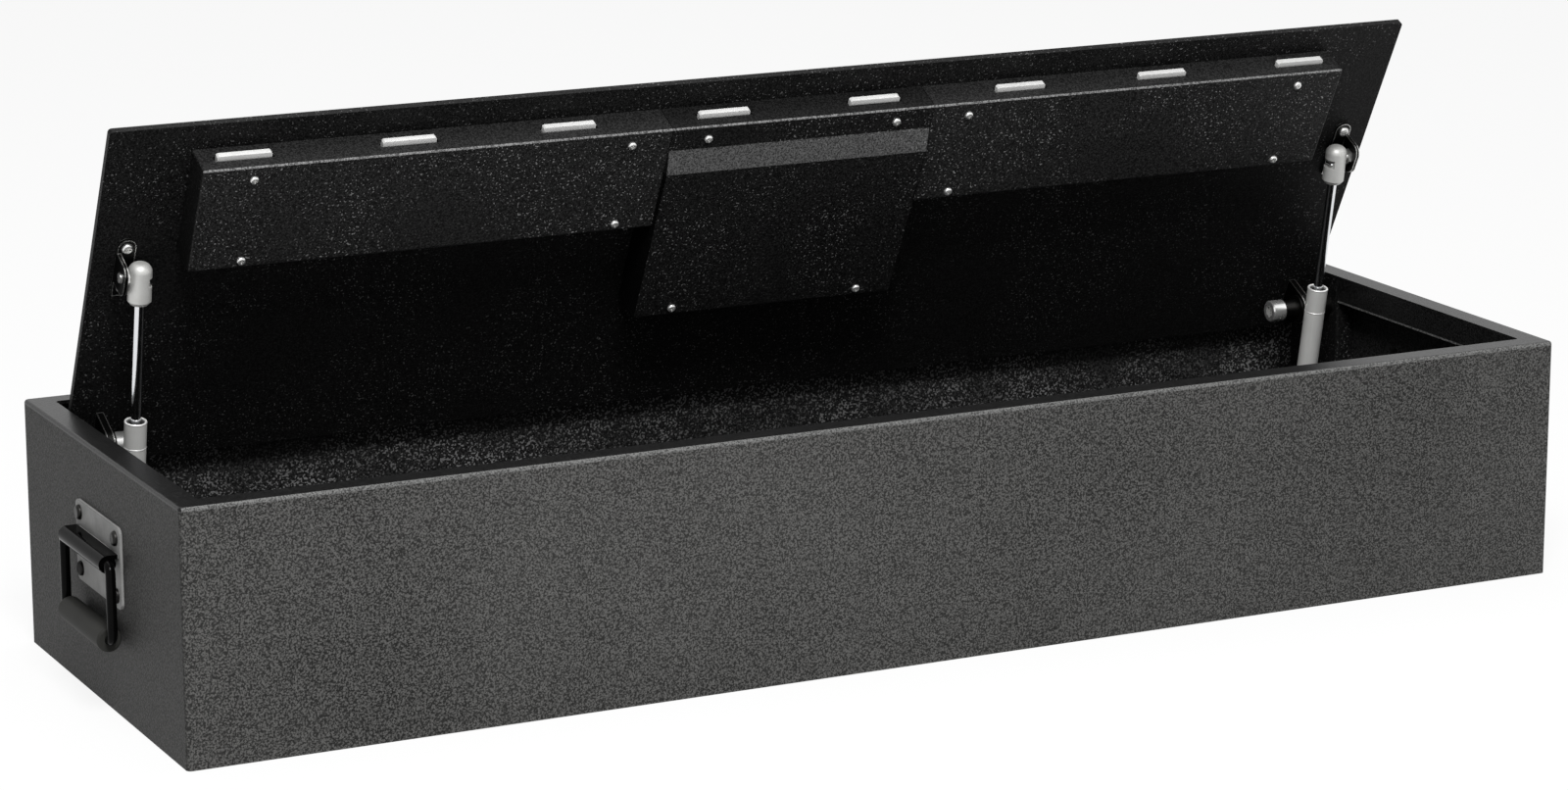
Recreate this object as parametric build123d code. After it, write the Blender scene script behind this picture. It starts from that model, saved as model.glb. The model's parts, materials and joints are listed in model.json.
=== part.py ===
from build123d import *
import math
import os

# A long, low steel safe for the boot or load bed of a vehicle.
# X runs along its length, Y from the front wall to the back wall, Z up from the underside.
# The origin is the middle of the underside. Lengths are millimetres, angles are degrees.

# How far a cut runs past the face that it opens
over = 1.0

# Box
box_length = 1220.0
box_depth = 381.0
box_height = 203.0
wall = 3.0
corner_radius = 4.0
floor_thickness = 3.0
rim_width = 21.0
rear_rim_width = 19.0
rim_thickness = 3.0
rim_edge_radius = 2.4
return_depth = 21.0
return_thickness = 3.0
mouth_corner_radius = 3.0

# Holes in the floor that anchor the box to the vehicle
anchor_hole_radius = 5.5
anchor_pitch_x = 1000.0
anchor_pitch_y = 230.0

# Lid and its hinge
lid_thickness = 6.0
lid_gap = 3.0
lid_rear_gap = 3.5
lid_corner_radius = 3.0
lid_edge_chamfer = 0.6
open_angle = 62.75
pivot_from_rear_edge = 38.5
pivot_below_lid = 23.8
ear_inset = 46.0
ear_thickness = 6.0
ear_radius = 14.0
pillar_front_from_pivot = 18.0
pillar_thickness = 6.0
pillar_bend_radius = 3.0

# Hinge bolt, sleeve, washer and nut; the inset is the right head's, the left head sits by its washer
bolt_shank_radius = 6.35
bolt_head_radius = 9.5
bolt_head_length = 12.7
bolt_hex_width = 9.5
bolt_hex_depth = 6.0
bolt_head_inset = 69.0
bolt_head_chamfer = 1.0
sleeve_radius = 8.0
sleeve_collar_radius = 10.0
washer_radius = 12.0
washer_thickness = 2.0
nut_width = 19.0
nut_thickness = 10.9
nut_overhang = 0.8

# Fits
turn_fit = 0.05
hole_fit = 0.1
side_gap = 0.3

# Gas struts, one at each end
strut_inset = 59.3
strut_foot_from_pivot = 10.5
strut_foot_height = 25.0
strut_head_from_pivot = 164.5
strut_top_below_lid = 15.5
tube_radius = 9.0
tube_wall = 1.2
tube_start = 23.5
strut_closed_gap = 16.6
tube_base = 3.0
tube_edge_radius = 0.5
tube_groove_from_end = 22.0
tube_groove_depth = 0.5
tube_groove_width = 2.0
gland_thickness = 6.0
gland_recess = 2.0
gland_play = 1.1
rod_radius = 4.0
piston_radius = 6.6
piston_length = 8.0
piston_gap = 8.8
socket_radius = 9.5
socket_crown = 11.5
socket_crown_radius = 7.5
socket_body = 20.5
socket_end_radius = 7.0
notch_start = 0.8
notch_height = 7.5
notch_wall = 0.2
ball_radius = 5.0
stud_neck_radius = 3.2
stud_thread_radius = 4.0
stud_thread_proud = 1.0
stud_hex_width = 12.0
stud_hex_length = 3.0
clip_wire_radius = 0.8
clip_half = 4.5
clip_bend_radius = 1.6
clip_reach = 7.0

# Brackets that carry the strut balls
bracket_thickness = 3.0
upper_upright_inset = 43.0
upper_bracket_depth = 15.0
upper_screw_ahead = 18.8
upper_screw_behind = 20.0
upper_upright_half = 14.0
upper_upright_below_ball = 10.5
upper_upright_radius = 8.4
lower_upright_inset = 42.0
lower_bracket_half = 15.0
lower_bracket_height = 36.0
bracket_screw_radius = 3.0
bracket_screw_head_radius = 4.6
bracket_screw_head_height = 2.8
bracket_screw_length = 8.0
bracket_screw_margin = 8.0

# Heads of the domed screws, as shares of the head's height or radius
screw_dome_share = 0.7
recess_length_share = 1.1
recess_width_share = 0.22

# Lock covers under the lid
cover_thickness = 1.5
cover_end_gap = 35.0
cover_seam_gap = 7.0
cover_front = 23.6
cover_rear = 122.5
cover_depth = 28.0
cover_bend_radius = 2.0
hump_slope_start = 45.0
hump_slope_end = 66.0
hump_rear = 215.0
hump_depth = 33.0
cover_screw_radius = 2.0
cover_screw_head_radius = 3.6
cover_screw_head_height = 2.4
cover_screw_length = 6.0
outer_screw_from_tab = 5.5
inner_screw_from_guide = 16.4
middle_screw_from_tab = 17.2
cover_screw_front = 36.0
cover_screw_rear = 115.5
hump_screw_rear = 207.5
post_radius = 3.5
post_gap = 1.0

# Bolt bar with its locking tabs
tab_pairs = 4
tab_width = 45.0
tab_tip = 19.8
tab_chamfer = 1.2
bar_thickness = 5.0
bar_below_lid = 11.3
bar_front = 55.0
bar_rear = 101.0
bar_end_margin = 3.0
bar_end_gap = 10.5
slot_side_gap = 2.0
slot_face_gap = 1.0
bridge_thickness = 3.0
bridge_front = 31.0
bridge_rear = 40.0
bridge_side_gap = 1.0
bridge_top_gap = 0.5
bridge_rear_gap = 1.0
tab_return_gap = 1.0
guide_post_front = 63.0
guide_pin_radius = 3.0
guide_shoulder_radius = 6.0
guide_clip_radius = 7.0
guide_clip_thickness = 1.2
guide_pin_proud = 1.0
guide_play = 0.3

# Rack and pinion that drive the bolt bar
gear_module = 1.5
pinion_teeth = 24
pressure_angle = 20.0
gear_backlash = 0.12
dedendum_share = 1.25
flank_steps = 5
rack_spare_teeth = 2
pinion_thickness = 8.0
spindle_from_edge = 136.0
knob_turn = 90.0
rack_margin = 4.0
tongue_width = 17.0

# Lock case and the latch that holds the bolt bar
case_start_x = 40.0
case_length_x = 60.0
case_front = 104.0
case_rear = 174.0
case_depth = 30.0
case_edge_radius = 2.0
case_lug_length = 12.0
case_lug_thickness = 3.0
case_lug_width = 12.0
case_lug_margin = 9.0
latch_from_edge = 140.0
latch_width = 7.6
latch_length = 24.0
latch_stand_off = 2.0
latch_travel = 7.0
latch_chamfer = 1.0
notch_gap = 0.5

# Knob, spindle and push buttons on the outside
face_thickness = 5.0
face_edge_radius = 1.2
face_corner_radius = 10.0
face_left_margin = 36.0
face_right_margin = 24.0
face_end_margin = 14.0
button_count = 5
button_pitch = 13.0
button_x = 74.0
button_radius = 5.0
button_flange_radius = 5.9
button_flange_thickness = 1.2
button_stem_radius = 2.5
button_proud = 2.5
button_travel = 2.0
button_stop_gap = 0.5
button_edge_radius = 0.8
stem_end_gap = 1.0
stem_hole_gap = 0.3
stem_socket_depth = 5.0
spindle_radius = 5.0
bush_radius = 8.0
bush_flange_radius = 12.0
bush_flange_thickness = 3.0
spindle_collar_radius = 7.0
spindle_collar_length = 2.0
knob_radius = 22.0
knob_disc_thickness = 8.0
knob_grip_width = 12.0
knob_grip_height = 16.0
knob_grip_inset = 2.0
knob_grip_flat = 1.0
knob_edge_radius = 2.0
knob_socket_depth = 16.0

# Carry handles on the end walls
handle_plate_width = 107.0
handle_plate_thickness = 2.5
handle_plate_corner = 6.0
plate_above_rivets = 9.5
plate_below_rivets = 10.0
handle_axis_out = 11.5
handle_axis_height = 126.3
knuckle_radius = 7.0
knuckle_half_length = 50.0
knuckle_web = 3.5
wire_radius = 4.0
wire_fit = 0.08
bail_half_width = 57.0
bail_drop = 60.0
bail_end = 20.0
grip_radius = 10.0
grip_half_length = 49.5
grip_edge_radius = 2.0
handle_swing = 90.0
rivet_radius = 3.0
rivet_head_radius = 6.0
rivet_head_height = 3.2
rivet_tail_radius = 4.5
rivet_tail_height = 2.0
rivet_dome_share = 0.8
rivet_y = 43.5
rivet_above_knuckle = 5.2
rivet_below_knuckle = 14.3

# Places that follow from the sizes above
half_length = box_length / 2
half_depth = box_depth / 2
wall_top = box_height - rim_thickness
return_bottom = wall_top - return_depth
mouth_x = half_length - rim_width
mouth_front = -half_depth + rim_width
mouth_rear = half_depth - rear_rim_width
lid_half_length = mouth_x - lid_gap
lid_front = mouth_front + lid_gap
lid_rear = mouth_rear - lid_rear_gap
lid_under = box_height - lid_thickness
pivot_y = lid_rear - pivot_from_rear_edge
pivot_z = lid_under - pivot_below_lid
pillar_front = pivot_y - pillar_front_from_pivot
pillar_far_x = mouth_x + pillar_thickness
strut_top_from_edge = pivot_y - strut_head_from_pivot - lid_front
upper_bracket_x = half_length - upper_upright_inset - upper_bracket_depth
upper_screw_x = upper_bracket_x + upper_bracket_depth / 2
ear_outer_x = half_length - ear_inset
ear_inner_x = ear_outer_x - ear_thickness
washer_outer_x = ear_inner_x - side_gap
head_outer_x = half_length - bolt_head_inset
left_head_outer_x = washer_outer_x - washer_thickness - side_gap
strut_x = half_length - strut_inset
pitch_radius = gear_module * pinion_teeth / 2
rack_root_x = pitch_radius + dedendum_share * gear_module
bar_travel = pitch_radius * math.radians(knob_turn)
cover_half_length = upper_bracket_x - cover_end_gap
cover_seam = case_start_x + case_length_x + case_lug_length + cover_seam_gap
bar_half_length = cover_half_length - cover_thickness - bar_end_gap
last_tab_x = bar_half_length - bar_end_margin - tab_width / 2
tab_pitch = last_tab_x / (tab_pairs - 0.5)
cover_screw_outer_x = last_tab_x - outer_screw_from_tab
cover_screw_inner_x = tab_pitch + inner_screw_from_guide
cover_screw_middle_x = tab_pitch / 2 + middle_screw_from_tab
face_top = box_height + face_thickness
rivet_high = handle_axis_height + knuckle_radius + rivet_above_knuckle + rivet_head_radius
rivet_low = handle_axis_height - knuckle_radius - rivet_below_knuckle - rivet_head_radius
front_return_bottom = lid_under - bar_below_lid + tab_return_gap
pinion_below = (
    bar_below_lid + (bar_thickness - pinion_thickness) / 2,
    bar_below_lid + (bar_thickness + pinion_thickness) / 2,
)


def turn_open(y, z):
    """Where a point of the closed lid lies when the lid stands open."""
    angle = math.radians(-open_angle)
    dy = y - pivot_y
    dz = z - pivot_z
    return (
        pivot_y + dy * math.cos(angle) - dz * math.sin(angle),
        pivot_z + dy * math.sin(angle) + dz * math.cos(angle),
    )


def open_lid(shape):
    """Turns a piece modelled on the closed lid to the open lid."""
    about_pivot = Pos(0, pivot_y, pivot_z) * Rot(-open_angle, 0, 0) * Pos(0, -pivot_y, -pivot_z)
    return about_pivot * shape


strut_foot = (pivot_y - strut_foot_from_pivot, strut_foot_height)
strut_head = turn_open(lid_front + strut_top_from_edge, lid_under - strut_top_below_lid)
strut_span = math.dist(strut_foot, strut_head)
strut_closed_head = (pivot_y - strut_head_from_pivot, lid_under - strut_top_below_lid)
strut_closed_span = math.dist(strut_foot, strut_closed_head)
tube_end = strut_closed_span - tube_start - strut_closed_gap
piston_end = tube_end - gland_recess - gland_thickness - piston_gap - piston_length
rod_length = strut_span - piston_end
strut_tilt = math.degrees(math.atan2(strut_foot[0] - strut_head[0], strut_head[1] - strut_foot[1]))


def span(x, y, z):
    """Box between a low and a high value along each axis."""
    middle = [(low + high) / 2 for low, high in (x, y, z)]
    size = [high - low for low, high in (x, y, z)]
    return Pos(*middle) * Box(*size)


def bar_x(radius, x, y, z):
    """Round bar along X between two values of x."""
    return Pos((x[0] + x[1]) / 2, y, z) * Rot(0, 90, 0) * Cylinder(radius, abs(x[1] - x[0]))


def bar_y(radius, x, y, z):
    """Round bar along Y between two values of y."""
    return Pos(x, (y[0] + y[1]) / 2, z) * Rot(90, 0, 0) * Cylinder(radius, abs(y[1] - y[0]))


def bar_z(radius, x, y, z):
    """Round bar along Z between two values of z."""
    return Pos(x, y, (z[0] + z[1]) / 2) * Cylinder(radius, abs(z[1] - z[0]))


def hex_x(width, x, y, z):
    """Hexagonal bar along X, with the given width across its flats."""
    across_corners = width / math.cos(math.radians(30)) / 2
    prism = extrude(RegularPolygon(across_corners, 6), x[1] - x[0])
    return Pos(x[0], y, z) * Rot(0, 90, 0) * prism


def under_lid(x, away, below):
    """Box on the closed lid: away is from its front edge, below is from its inner face."""
    y = (lid_front + away[0], lid_front + away[1])
    return span(x, y, (lid_under - below[1], lid_under - below[0]))


def post_under_lid(radius, x, away, below):
    """Round post on the closed lid, along its thickness."""
    return bar_z(radius, x, lid_front + away, (lid_under - below[1], lid_under - below[0]))


def to_left(shape):
    """The left-hand twin of a right-hand piece."""
    return mirror(shape, about=Plane.YZ)


def both_ends(shape, left=None):
    """A fastener at each end; left is the one for the left end, where it isn't a mirror of the right one."""
    return Compound([*shape.solids(), *to_left(shape if left is None else left).solids()])


def tab_centres():
    """X of each locking tab."""
    right = [(n + 0.5) * tab_pitch for n in range(tab_pairs)]
    return sorted([-x for x in right] + right)


def shell_body():
    """The four walls, bent from one strip, with holes for the handle rivets."""
    outer = RectangleRounded(box_length, box_depth, corner_radius)
    inner = RectangleRounded(box_length - 2 * wall, box_depth - 2 * wall, corner_radius - wall)
    walls = extrude(outer - inner, wall_top)
    for y, z in rivet_places():
        walls -= bar_x(rivet_radius, (-half_length - wall, half_length + wall), y, z)
    return walls


def floor_plate():
    """The floor, welded inside the walls, with the four anchor holes."""
    inner = RectangleRounded(box_length - 2 * wall, box_depth - 2 * wall, corner_radius - wall)
    plate = extrude(inner, floor_thickness)
    for x in (-anchor_pitch_x / 2, anchor_pitch_x / 2):
        for y in (-anchor_pitch_y / 2, anchor_pitch_y / 2):
            plate -= bar_z(anchor_hole_radius, x, y, (-over, floor_thickness + over))
    return plate


def mouth_outline(grow):
    """The outline of the mouth of the box, grown on every side."""
    width = 2 * (mouth_x + grow)
    depth = mouth_rear - mouth_front + 2 * grow
    middle = (mouth_front + mouth_rear) / 2
    return Pos(0, middle) * RectangleRounded(width, depth, mouth_corner_radius + grow)


def rim_frame():
    """The flat rim, with a deep return at both ends and a short one that the tabs hook under."""
    plate = extrude(RectangleRounded(box_length, box_depth, corner_radius), rim_thickness)
    top_edges = plate.edges().filter_by(Plane.XY).group_by(Axis.Z)[-1]
    plate = fillet(top_edges, rim_edge_radius)
    plate -= extrude(mouth_outline(0), rim_thickness)
    skirt = extrude(mouth_outline(return_thickness) - mouth_outline(0), return_depth)
    skirt -= span((-half_length, half_length), (pillar_front, half_depth), (-over, return_depth + over))
    front = (-half_depth, mouth_front + mouth_corner_radius)
    skirt -= span((-half_length, half_length), front, (-over, front_return_bottom - return_bottom))
    return Pos(0, 0, wall_top) * plate + Pos(0, 0, return_bottom) * skirt


def hinge_pillar():
    """Bent plate from floor to rim at the back of the right end, which carries the hinge."""
    inside = half_length - wall
    rear = half_depth - wall
    height = (floor_thickness, wall_top)
    pillar = span((mouth_x, pillar_far_x), (pillar_front, rear), height)
    pillar += span((mouth_x, inside), (pillar_front, pillar_front + pillar_thickness), height)
    bend = pillar.edges().filter_by(Axis.Z).sort_by(Axis.X)[:2].sort_by(Axis.Y)[0]
    pillar = fillet(bend, pillar_bend_radius)
    reach = (mouth_x - over, pillar_far_x + over)
    pillar -= bar_x(bolt_shank_radius + hole_fit, reach, pivot_y, pivot_z)
    for z in lower_screw_heights():
        pillar -= bar_x(bracket_screw_radius, reach, strut_foot[0], z)
    return pillar


def pivot_bolt(head_x):
    """Socket head bolt on the lid's axis, with its head inside the box; head_x is the head's seat."""
    end = pillar_far_x + nut_thickness + nut_overhang
    bolt = bar_x(bolt_shank_radius, (head_x, end), pivot_y, pivot_z)
    head = bar_x(bolt_head_radius, (head_x - bolt_head_length, head_x), pivot_y, pivot_z)
    head = chamfer(head.edges().sort_by(Axis.X)[0], bolt_head_chamfer)
    socket_end = head_x - bolt_head_length + bolt_hex_depth
    socket = hex_x(bolt_hex_width, (head_x - bolt_head_length - over, socket_end), pivot_y, pivot_z)
    return bolt + head - socket


def pivot_sleeve(head_x):
    """Stepped sleeve from the bolt's head to the wall: the lid's ear turns on its thin end."""
    collar = (ear_outer_x + side_gap, mouth_x)
    sleeve = bar_x(sleeve_collar_radius, collar, pivot_y, pivot_z)
    sleeve += bar_x(sleeve_radius, (head_x, ear_outer_x + side_gap), pivot_y, pivot_z)
    bore = bar_x(bolt_shank_radius + hole_fit, (head_x - over, mouth_x + over), pivot_y, pivot_z)
    return sleeve - bore


def pivot_washer():
    """Washer that keeps the ear on its sleeve."""
    reach = (washer_outer_x - washer_thickness, washer_outer_x)
    washer = bar_x(washer_radius, reach, pivot_y, pivot_z)
    return washer - bar_x(sleeve_radius + turn_fit, (reach[0] - over, reach[1] + over), pivot_y, pivot_z)


def pivot_nut():
    """Nut inside the pillar."""
    nut = hex_x(nut_width, (pillar_far_x, pillar_far_x + nut_thickness), pivot_y, pivot_z)
    reach = (pillar_far_x - over, pillar_far_x + nut_thickness + over)
    return nut - bar_x(bolt_shank_radius + hole_fit, reach, pivot_y, pivot_z)


def lower_screw_heights():
    """Heights of the two screws of a lower strut bracket."""
    bend = strut_foot_height + lower_bracket_half
    low = bend + bracket_thickness + bracket_screw_margin
    return (low, bend + lower_bracket_height - bracket_screw_margin)


def lower_bracket():
    """Offset bracket on the pillar that carries the strut's foot."""
    upright_x = half_length - lower_upright_inset - bracket_thickness
    y = (strut_foot[0] - lower_bracket_half / 2, strut_foot[0] + lower_bracket_half / 2)
    bend = strut_foot_height + lower_bracket_half
    base_top = bend + lower_bracket_height
    base = span((mouth_x - bracket_thickness, mouth_x), y, (bend, base_top))
    for z in lower_screw_heights():
        reach = (mouth_x - bracket_thickness - over, mouth_x + over)
        base -= bar_x(bracket_screw_radius + hole_fit, reach, strut_foot[0], z)
    web = span((upright_x, mouth_x), y, (bend, bend + bracket_thickness))
    bottom = strut_foot_height - lower_bracket_half / 2
    upright = span((upright_x, upright_x + bracket_thickness), y, (bottom, bend))
    reach = (upright_x - over, upright_x + bracket_thickness + over)
    upright -= bar_x(stud_thread_radius + hole_fit, reach, *strut_foot)
    return base + web + upright


def button_head_screw(head_radius, head_height, radius, length):
    """Screw with a low domed head on the XY plane and its shank below, with a cross recess."""
    head = Pos(0, 0, head_height / 2) * Cylinder(head_radius, head_height)
    head = fillet(head.edges().sort_by(Axis.Z)[-1], head_height * screw_dome_share)
    shank = Pos(0, 0, -length / 2) * Cylinder(radius, length)
    slot = Box(head_radius * recess_length_share, head_radius * recess_width_share, head_height)
    recess = Pos(0, 0, head_height) * (slot + Rot(0, 0, 90) * slot)
    return head + shank - recess


def bracket_screw():
    """The screw that holds a strut bracket."""
    return button_head_screw(
        bracket_screw_head_radius, bracket_screw_head_height, bracket_screw_radius, bracket_screw_length
    )


def lower_mount_screws():
    """The two screws of each lower strut bracket."""
    face_x = mouth_x - bracket_thickness
    screws = []
    for z in lower_screw_heights():
        screws.append(Pos(face_x, strut_foot[0], z) * Rot(0, -90, 0) * bracket_screw())
    return Compound([*screws, *[to_left(screw) for screw in screws]])


def ball_stud(y, z, face_x):
    """Ball stud at the strut's x, screwed into a plate whose inner face is at face_x."""
    ball = Pos(strut_x, y, z) * Rot(0, 90, 0) * Sphere(ball_radius)
    neck = bar_x(stud_neck_radius, (strut_x, face_x), y, z)
    collar = hex_x(stud_hex_width, (face_x - stud_hex_length, face_x), y, z)
    thread_end = face_x + bracket_thickness + stud_thread_proud
    thread = bar_x(stud_thread_radius, (face_x, thread_end), y, z)
    return ball + neck + collar + thread


def lower_ball_stud():
    """Ball stud at the strut's foot."""
    return ball_stud(*strut_foot, half_length - lower_upright_inset - bracket_thickness)


def upper_ball_stud():
    """Ball stud at the strut's head, on the closed lid."""
    face_x = half_length - upper_upright_inset - bracket_thickness
    return ball_stud(lid_front + strut_top_from_edge, lid_under - strut_top_below_lid, face_x)


def upper_screw_places():
    """Distances from the lid's front edge of the screws of an upper strut bracket."""
    return (strut_top_from_edge - upper_screw_ahead, strut_top_from_edge + upper_screw_behind)


def upper_bracket():
    """Angle bracket on the closed lid that carries the strut's head, round about its front screw."""
    outer = half_length - upper_upright_inset
    front, rear = upper_screw_places()
    base = under_lid((upper_bracket_x, outer), (front, rear + bracket_screw_margin), (0, bracket_thickness))
    base += post_under_lid(upper_bracket_depth / 2, upper_screw_x, front, (0, bracket_thickness))
    for away_screw in (front, rear):
        below = (-over, bracket_thickness + over)
        base -= post_under_lid(bracket_screw_radius + hole_fit, upper_screw_x, away_screw, below)
    upright_away = (strut_top_from_edge - upper_upright_half, strut_top_from_edge + upper_upright_half)
    upright_foot = (outer - bracket_thickness, outer)
    below = (0, strut_top_below_lid + upper_upright_below_ball)
    upright = under_lid(upright_foot, upright_away, below)
    upright = fillet(upright.edges().filter_by(Axis.X).group_by(Axis.Z)[0], upper_upright_radius)
    reach = (upright_foot[0] - over, upright_foot[1] + over)
    y = lid_front + strut_top_from_edge
    upright -= bar_x(stud_thread_radius + hole_fit, reach, y, lid_under - strut_top_below_lid)
    return base + upright


def upper_mount_screws():
    """The two screws of each upper strut bracket, on the closed lid."""
    z = lid_under - bracket_thickness
    screws = []
    for away in upper_screw_places():
        place = Pos(upper_screw_x, lid_front + away, z)
        screws.append(place * Rot(180, 0, 0) * bracket_screw())
    return Compound([*screws, *[to_left(screw) for screw in screws]])


def lid_plate():
    """The flat steel lid, closed."""
    plate = under_lid((-lid_half_length, lid_half_length), (0, lid_rear - lid_front), (-lid_thickness, 0))
    plate = fillet(plate.edges().filter_by(Axis.Z), lid_corner_radius)
    plate = chamfer(plate.faces().sort_by(Axis.Z)[-1].edges(), lid_edge_chamfer)
    through = (-lid_thickness - over, over)
    plate -= post_under_lid(bush_radius, 0, spindle_from_edge, through)
    for away in button_places():
        plate -= post_under_lid(button_stem_radius + stem_hole_gap, button_x, away, through)
    threads = [(upper_screw_x, away) for away in upper_screw_places()]
    depth = bracket_screw_length - bracket_thickness
    for x, away in threads:
        for side in (-1, 1):
            plate -= post_under_lid(bracket_screw_radius, side * x, away, (-depth, over))
    for x, away in lug_places():
        plate -= post_under_lid(cover_screw_radius, x, away, (-cover_screw_length + case_lug_thickness, over))
    return plate


def hinge_ear():
    """Ear welded under the right end of the lid, which turns on the hinge sleeve."""
    x = (ear_inner_x, ear_outer_x)
    ear = span(x, (pivot_y - ear_radius, pivot_y + ear_radius), (pivot_z, lid_under))
    ear += bar_x(ear_radius, x, pivot_y, pivot_z)
    return ear - bar_x(sleeve_radius + turn_fit, (x[0] - over, x[1] + over), pivot_y, pivot_z)


def slot_cut(x):
    """The slot that a locking tab leaves its cover by."""
    half = tab_width / 2 + slot_side_gap
    below = (bar_below_lid - slot_face_gap, bar_below_lid + bar_thickness + slot_face_gap)
    return under_lid((x - half, x + half), (cover_front - over, cover_front + cover_thickness + over), below)


def side_cover():
    """The cover over the right arm of the bolt bar, a shallow tray open to the middle."""
    x = (cover_seam + side_gap, cover_half_length)
    tray = under_lid(x, (cover_front, cover_rear), (0, cover_depth))
    bends = tray.faces().sort_by(Axis.Z)[0].edges().sort_by(Axis.X)[1:]
    corners = tray.edges().filter_by(Axis.Z).group_by(Axis.X)[-1]
    tray = fillet([*bends, *corners], cover_bend_radius)
    inner_away = (cover_front + cover_thickness, cover_rear - cover_thickness)
    inner_x = (x[0] - over, x[1] - cover_thickness)
    tray -= under_lid(inner_x, inner_away, (-over, cover_depth - cover_thickness))
    for centre in tab_centres():
        if centre > cover_seam:
            tray -= slot_cut(centre)
    for screw_x, away in side_screw_places():
        tray -= post_under_lid(cover_screw_radius + hole_fit, screw_x, away, (0, cover_depth + over))
    return tray


def hump_profile():
    """Side view of the middle cover, with Y from the lid's front edge and Z down from the lid."""
    open_side = -2 * cover_thickness
    points = [
        (cover_front, open_side),
        (cover_front, cover_depth),
        (hump_slope_start, cover_depth),
        (hump_slope_end, hump_depth),
        (hump_rear, hump_depth),
        (hump_rear, open_side),
    ]
    return points


def profile_along_x(points, half_width):
    """Solid with the given side view, between minus and plus half_width."""
    world = [(0, lid_front + away, lid_under - below) for away, below in points]
    face = make_face(Polyline(*world, close=True))
    return extrude(face, half_width, dir=(1, 0, 0), both=True)


def middle_cover():
    """The deeper cover over the lock and the rack, with its sloped front step."""
    outer = profile_along_x(hump_profile(), cover_seam)
    bends = outer.edges().filter_by(Axis.X).filter_by(lambda edge: edge.center().Z < lid_under - over)
    outer = fillet(bends, cover_bend_radius)
    slope = (hump_depth - cover_depth) / (hump_slope_end - hump_slope_start)
    slant = cover_thickness * (math.sqrt(1 + slope * slope) - 1) / slope
    inner_points = [
        (cover_front + cover_thickness, -over),
        (cover_front + cover_thickness, cover_depth - cover_thickness),
        (hump_slope_start + slant, cover_depth - cover_thickness),
        (hump_slope_end + slant, hump_depth - cover_thickness),
        (hump_rear - cover_thickness, hump_depth - cover_thickness),
        (hump_rear - cover_thickness, -over),
    ]
    cover = outer - profile_along_x(inner_points, cover_seam - cover_thickness)
    past_lid = (-3 * cover_thickness, 0)
    cover -= under_lid((-cover_seam - over, cover_seam + over), (0, hump_rear + over), past_lid)
    passage = (cover_front + cover_thickness, cover_rear + side_gap)
    cheek = (cover_seam - cover_thickness, cover_seam + over)
    for x in (cheek, (-cheek[1], -cheek[0])):
        cover -= under_lid(x, passage, (-over, cover_depth - cover_thickness))
    for centre in tab_centres():
        if abs(centre) < cover_seam:
            cover -= slot_cut(centre)
    for screw_x, away in middle_screw_places():
        cover -= post_under_lid(cover_screw_radius + hole_fit, screw_x, away, (0, hump_depth + over))
    return cover


def side_screw_places():
    """X and distance from the lid's front edge of the right cover's screws."""
    return [(x, away) for x in (cover_screw_inner_x, cover_screw_outer_x)
            for away in (cover_screw_front, cover_screw_rear)]


def middle_screw_places():
    """X and distance from the lid's front edge of the middle cover's screws."""
    return [(x, away) for x in (-cover_screw_middle_x, cover_screw_middle_x)
            for away in (cover_screw_front, hump_screw_rear)]


def cover_screw_places():
    """X, distance from the front edge and depth of the cover's face for every cover screw."""
    places = [(side * x, away, cover_depth) for x, away in side_screw_places() for side in (-1, 1)]
    for x, away in middle_screw_places():
        places.append((x, away, hump_depth if away > hump_slope_end else cover_depth))
    return places


def cover_screw():
    """The screw that holds a cover or the lock case."""
    return button_head_screw(
        cover_screw_head_radius, cover_screw_head_height, cover_screw_radius, cover_screw_length
    )


def cover_screws():
    """The screws of the three covers and of the lock case, on the closed lid."""
    lugs = [(x, away, case_lug_thickness) for x, away in lug_places()]
    screws = []
    for x, away, below in cover_screw_places() + lugs:
        place = Pos(x, lid_front + away, lid_under - below)
        screws.append(place * Rot(180, 0, 0) * cover_screw())
    return Compound(screws)


def on_bridge(x, away):
    """Whether a cover screw goes into the bridge over a locking tab."""
    near = min(abs(x - centre) for centre in tab_centres())
    return bridge_front < away < bridge_rear and near < tab_width / 2


def cover_posts():
    """Threaded posts under the covers, where no bridge takes the screw."""
    posts = []
    for x, away, below in cover_screw_places():
        if on_bridge(x, away):
            continue
        top = below - cover_thickness
        post = post_under_lid(post_radius, x, away, (0, top))
        post -= post_under_lid(cover_screw_radius, x, away, (top - cover_screw_length, top + over))
        posts.append(post)
    return Compound(posts)


def bolt_bridges():
    """A steel bridge over each locking tab, which keeps it down, guides it and takes a cover screw."""
    top = cover_depth - cover_thickness
    away = (bridge_front, bridge_rear)
    half = tab_width / 2 + bridge_side_gap
    bridges = []
    for centre in tab_centres():
        outside = (centre - half - bridge_thickness, centre + half + bridge_thickness)
        bridge = under_lid(outside, away, (0, top))
        opening = (-over, bar_below_lid + bar_thickness + bridge_top_gap)
        bridge -= under_lid((centre - half, centre + half), (0, cover_rear), opening)
        for x, screw_away, _ in cover_screw_places():
            if abs(x - centre) < half and bridge_front < screw_away < bridge_rear:
                bridge -= post_under_lid(cover_screw_radius, x, screw_away, (0, top + over))
        bridges.append(bridge)
    return Compound(bridges)


def guide_x():
    """X of the posts that guide the bolt bar, midway between tabs."""
    return [side * n * tab_pitch for n in range(1, tab_pairs, 2) for side in (-1, 1)]


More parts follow.
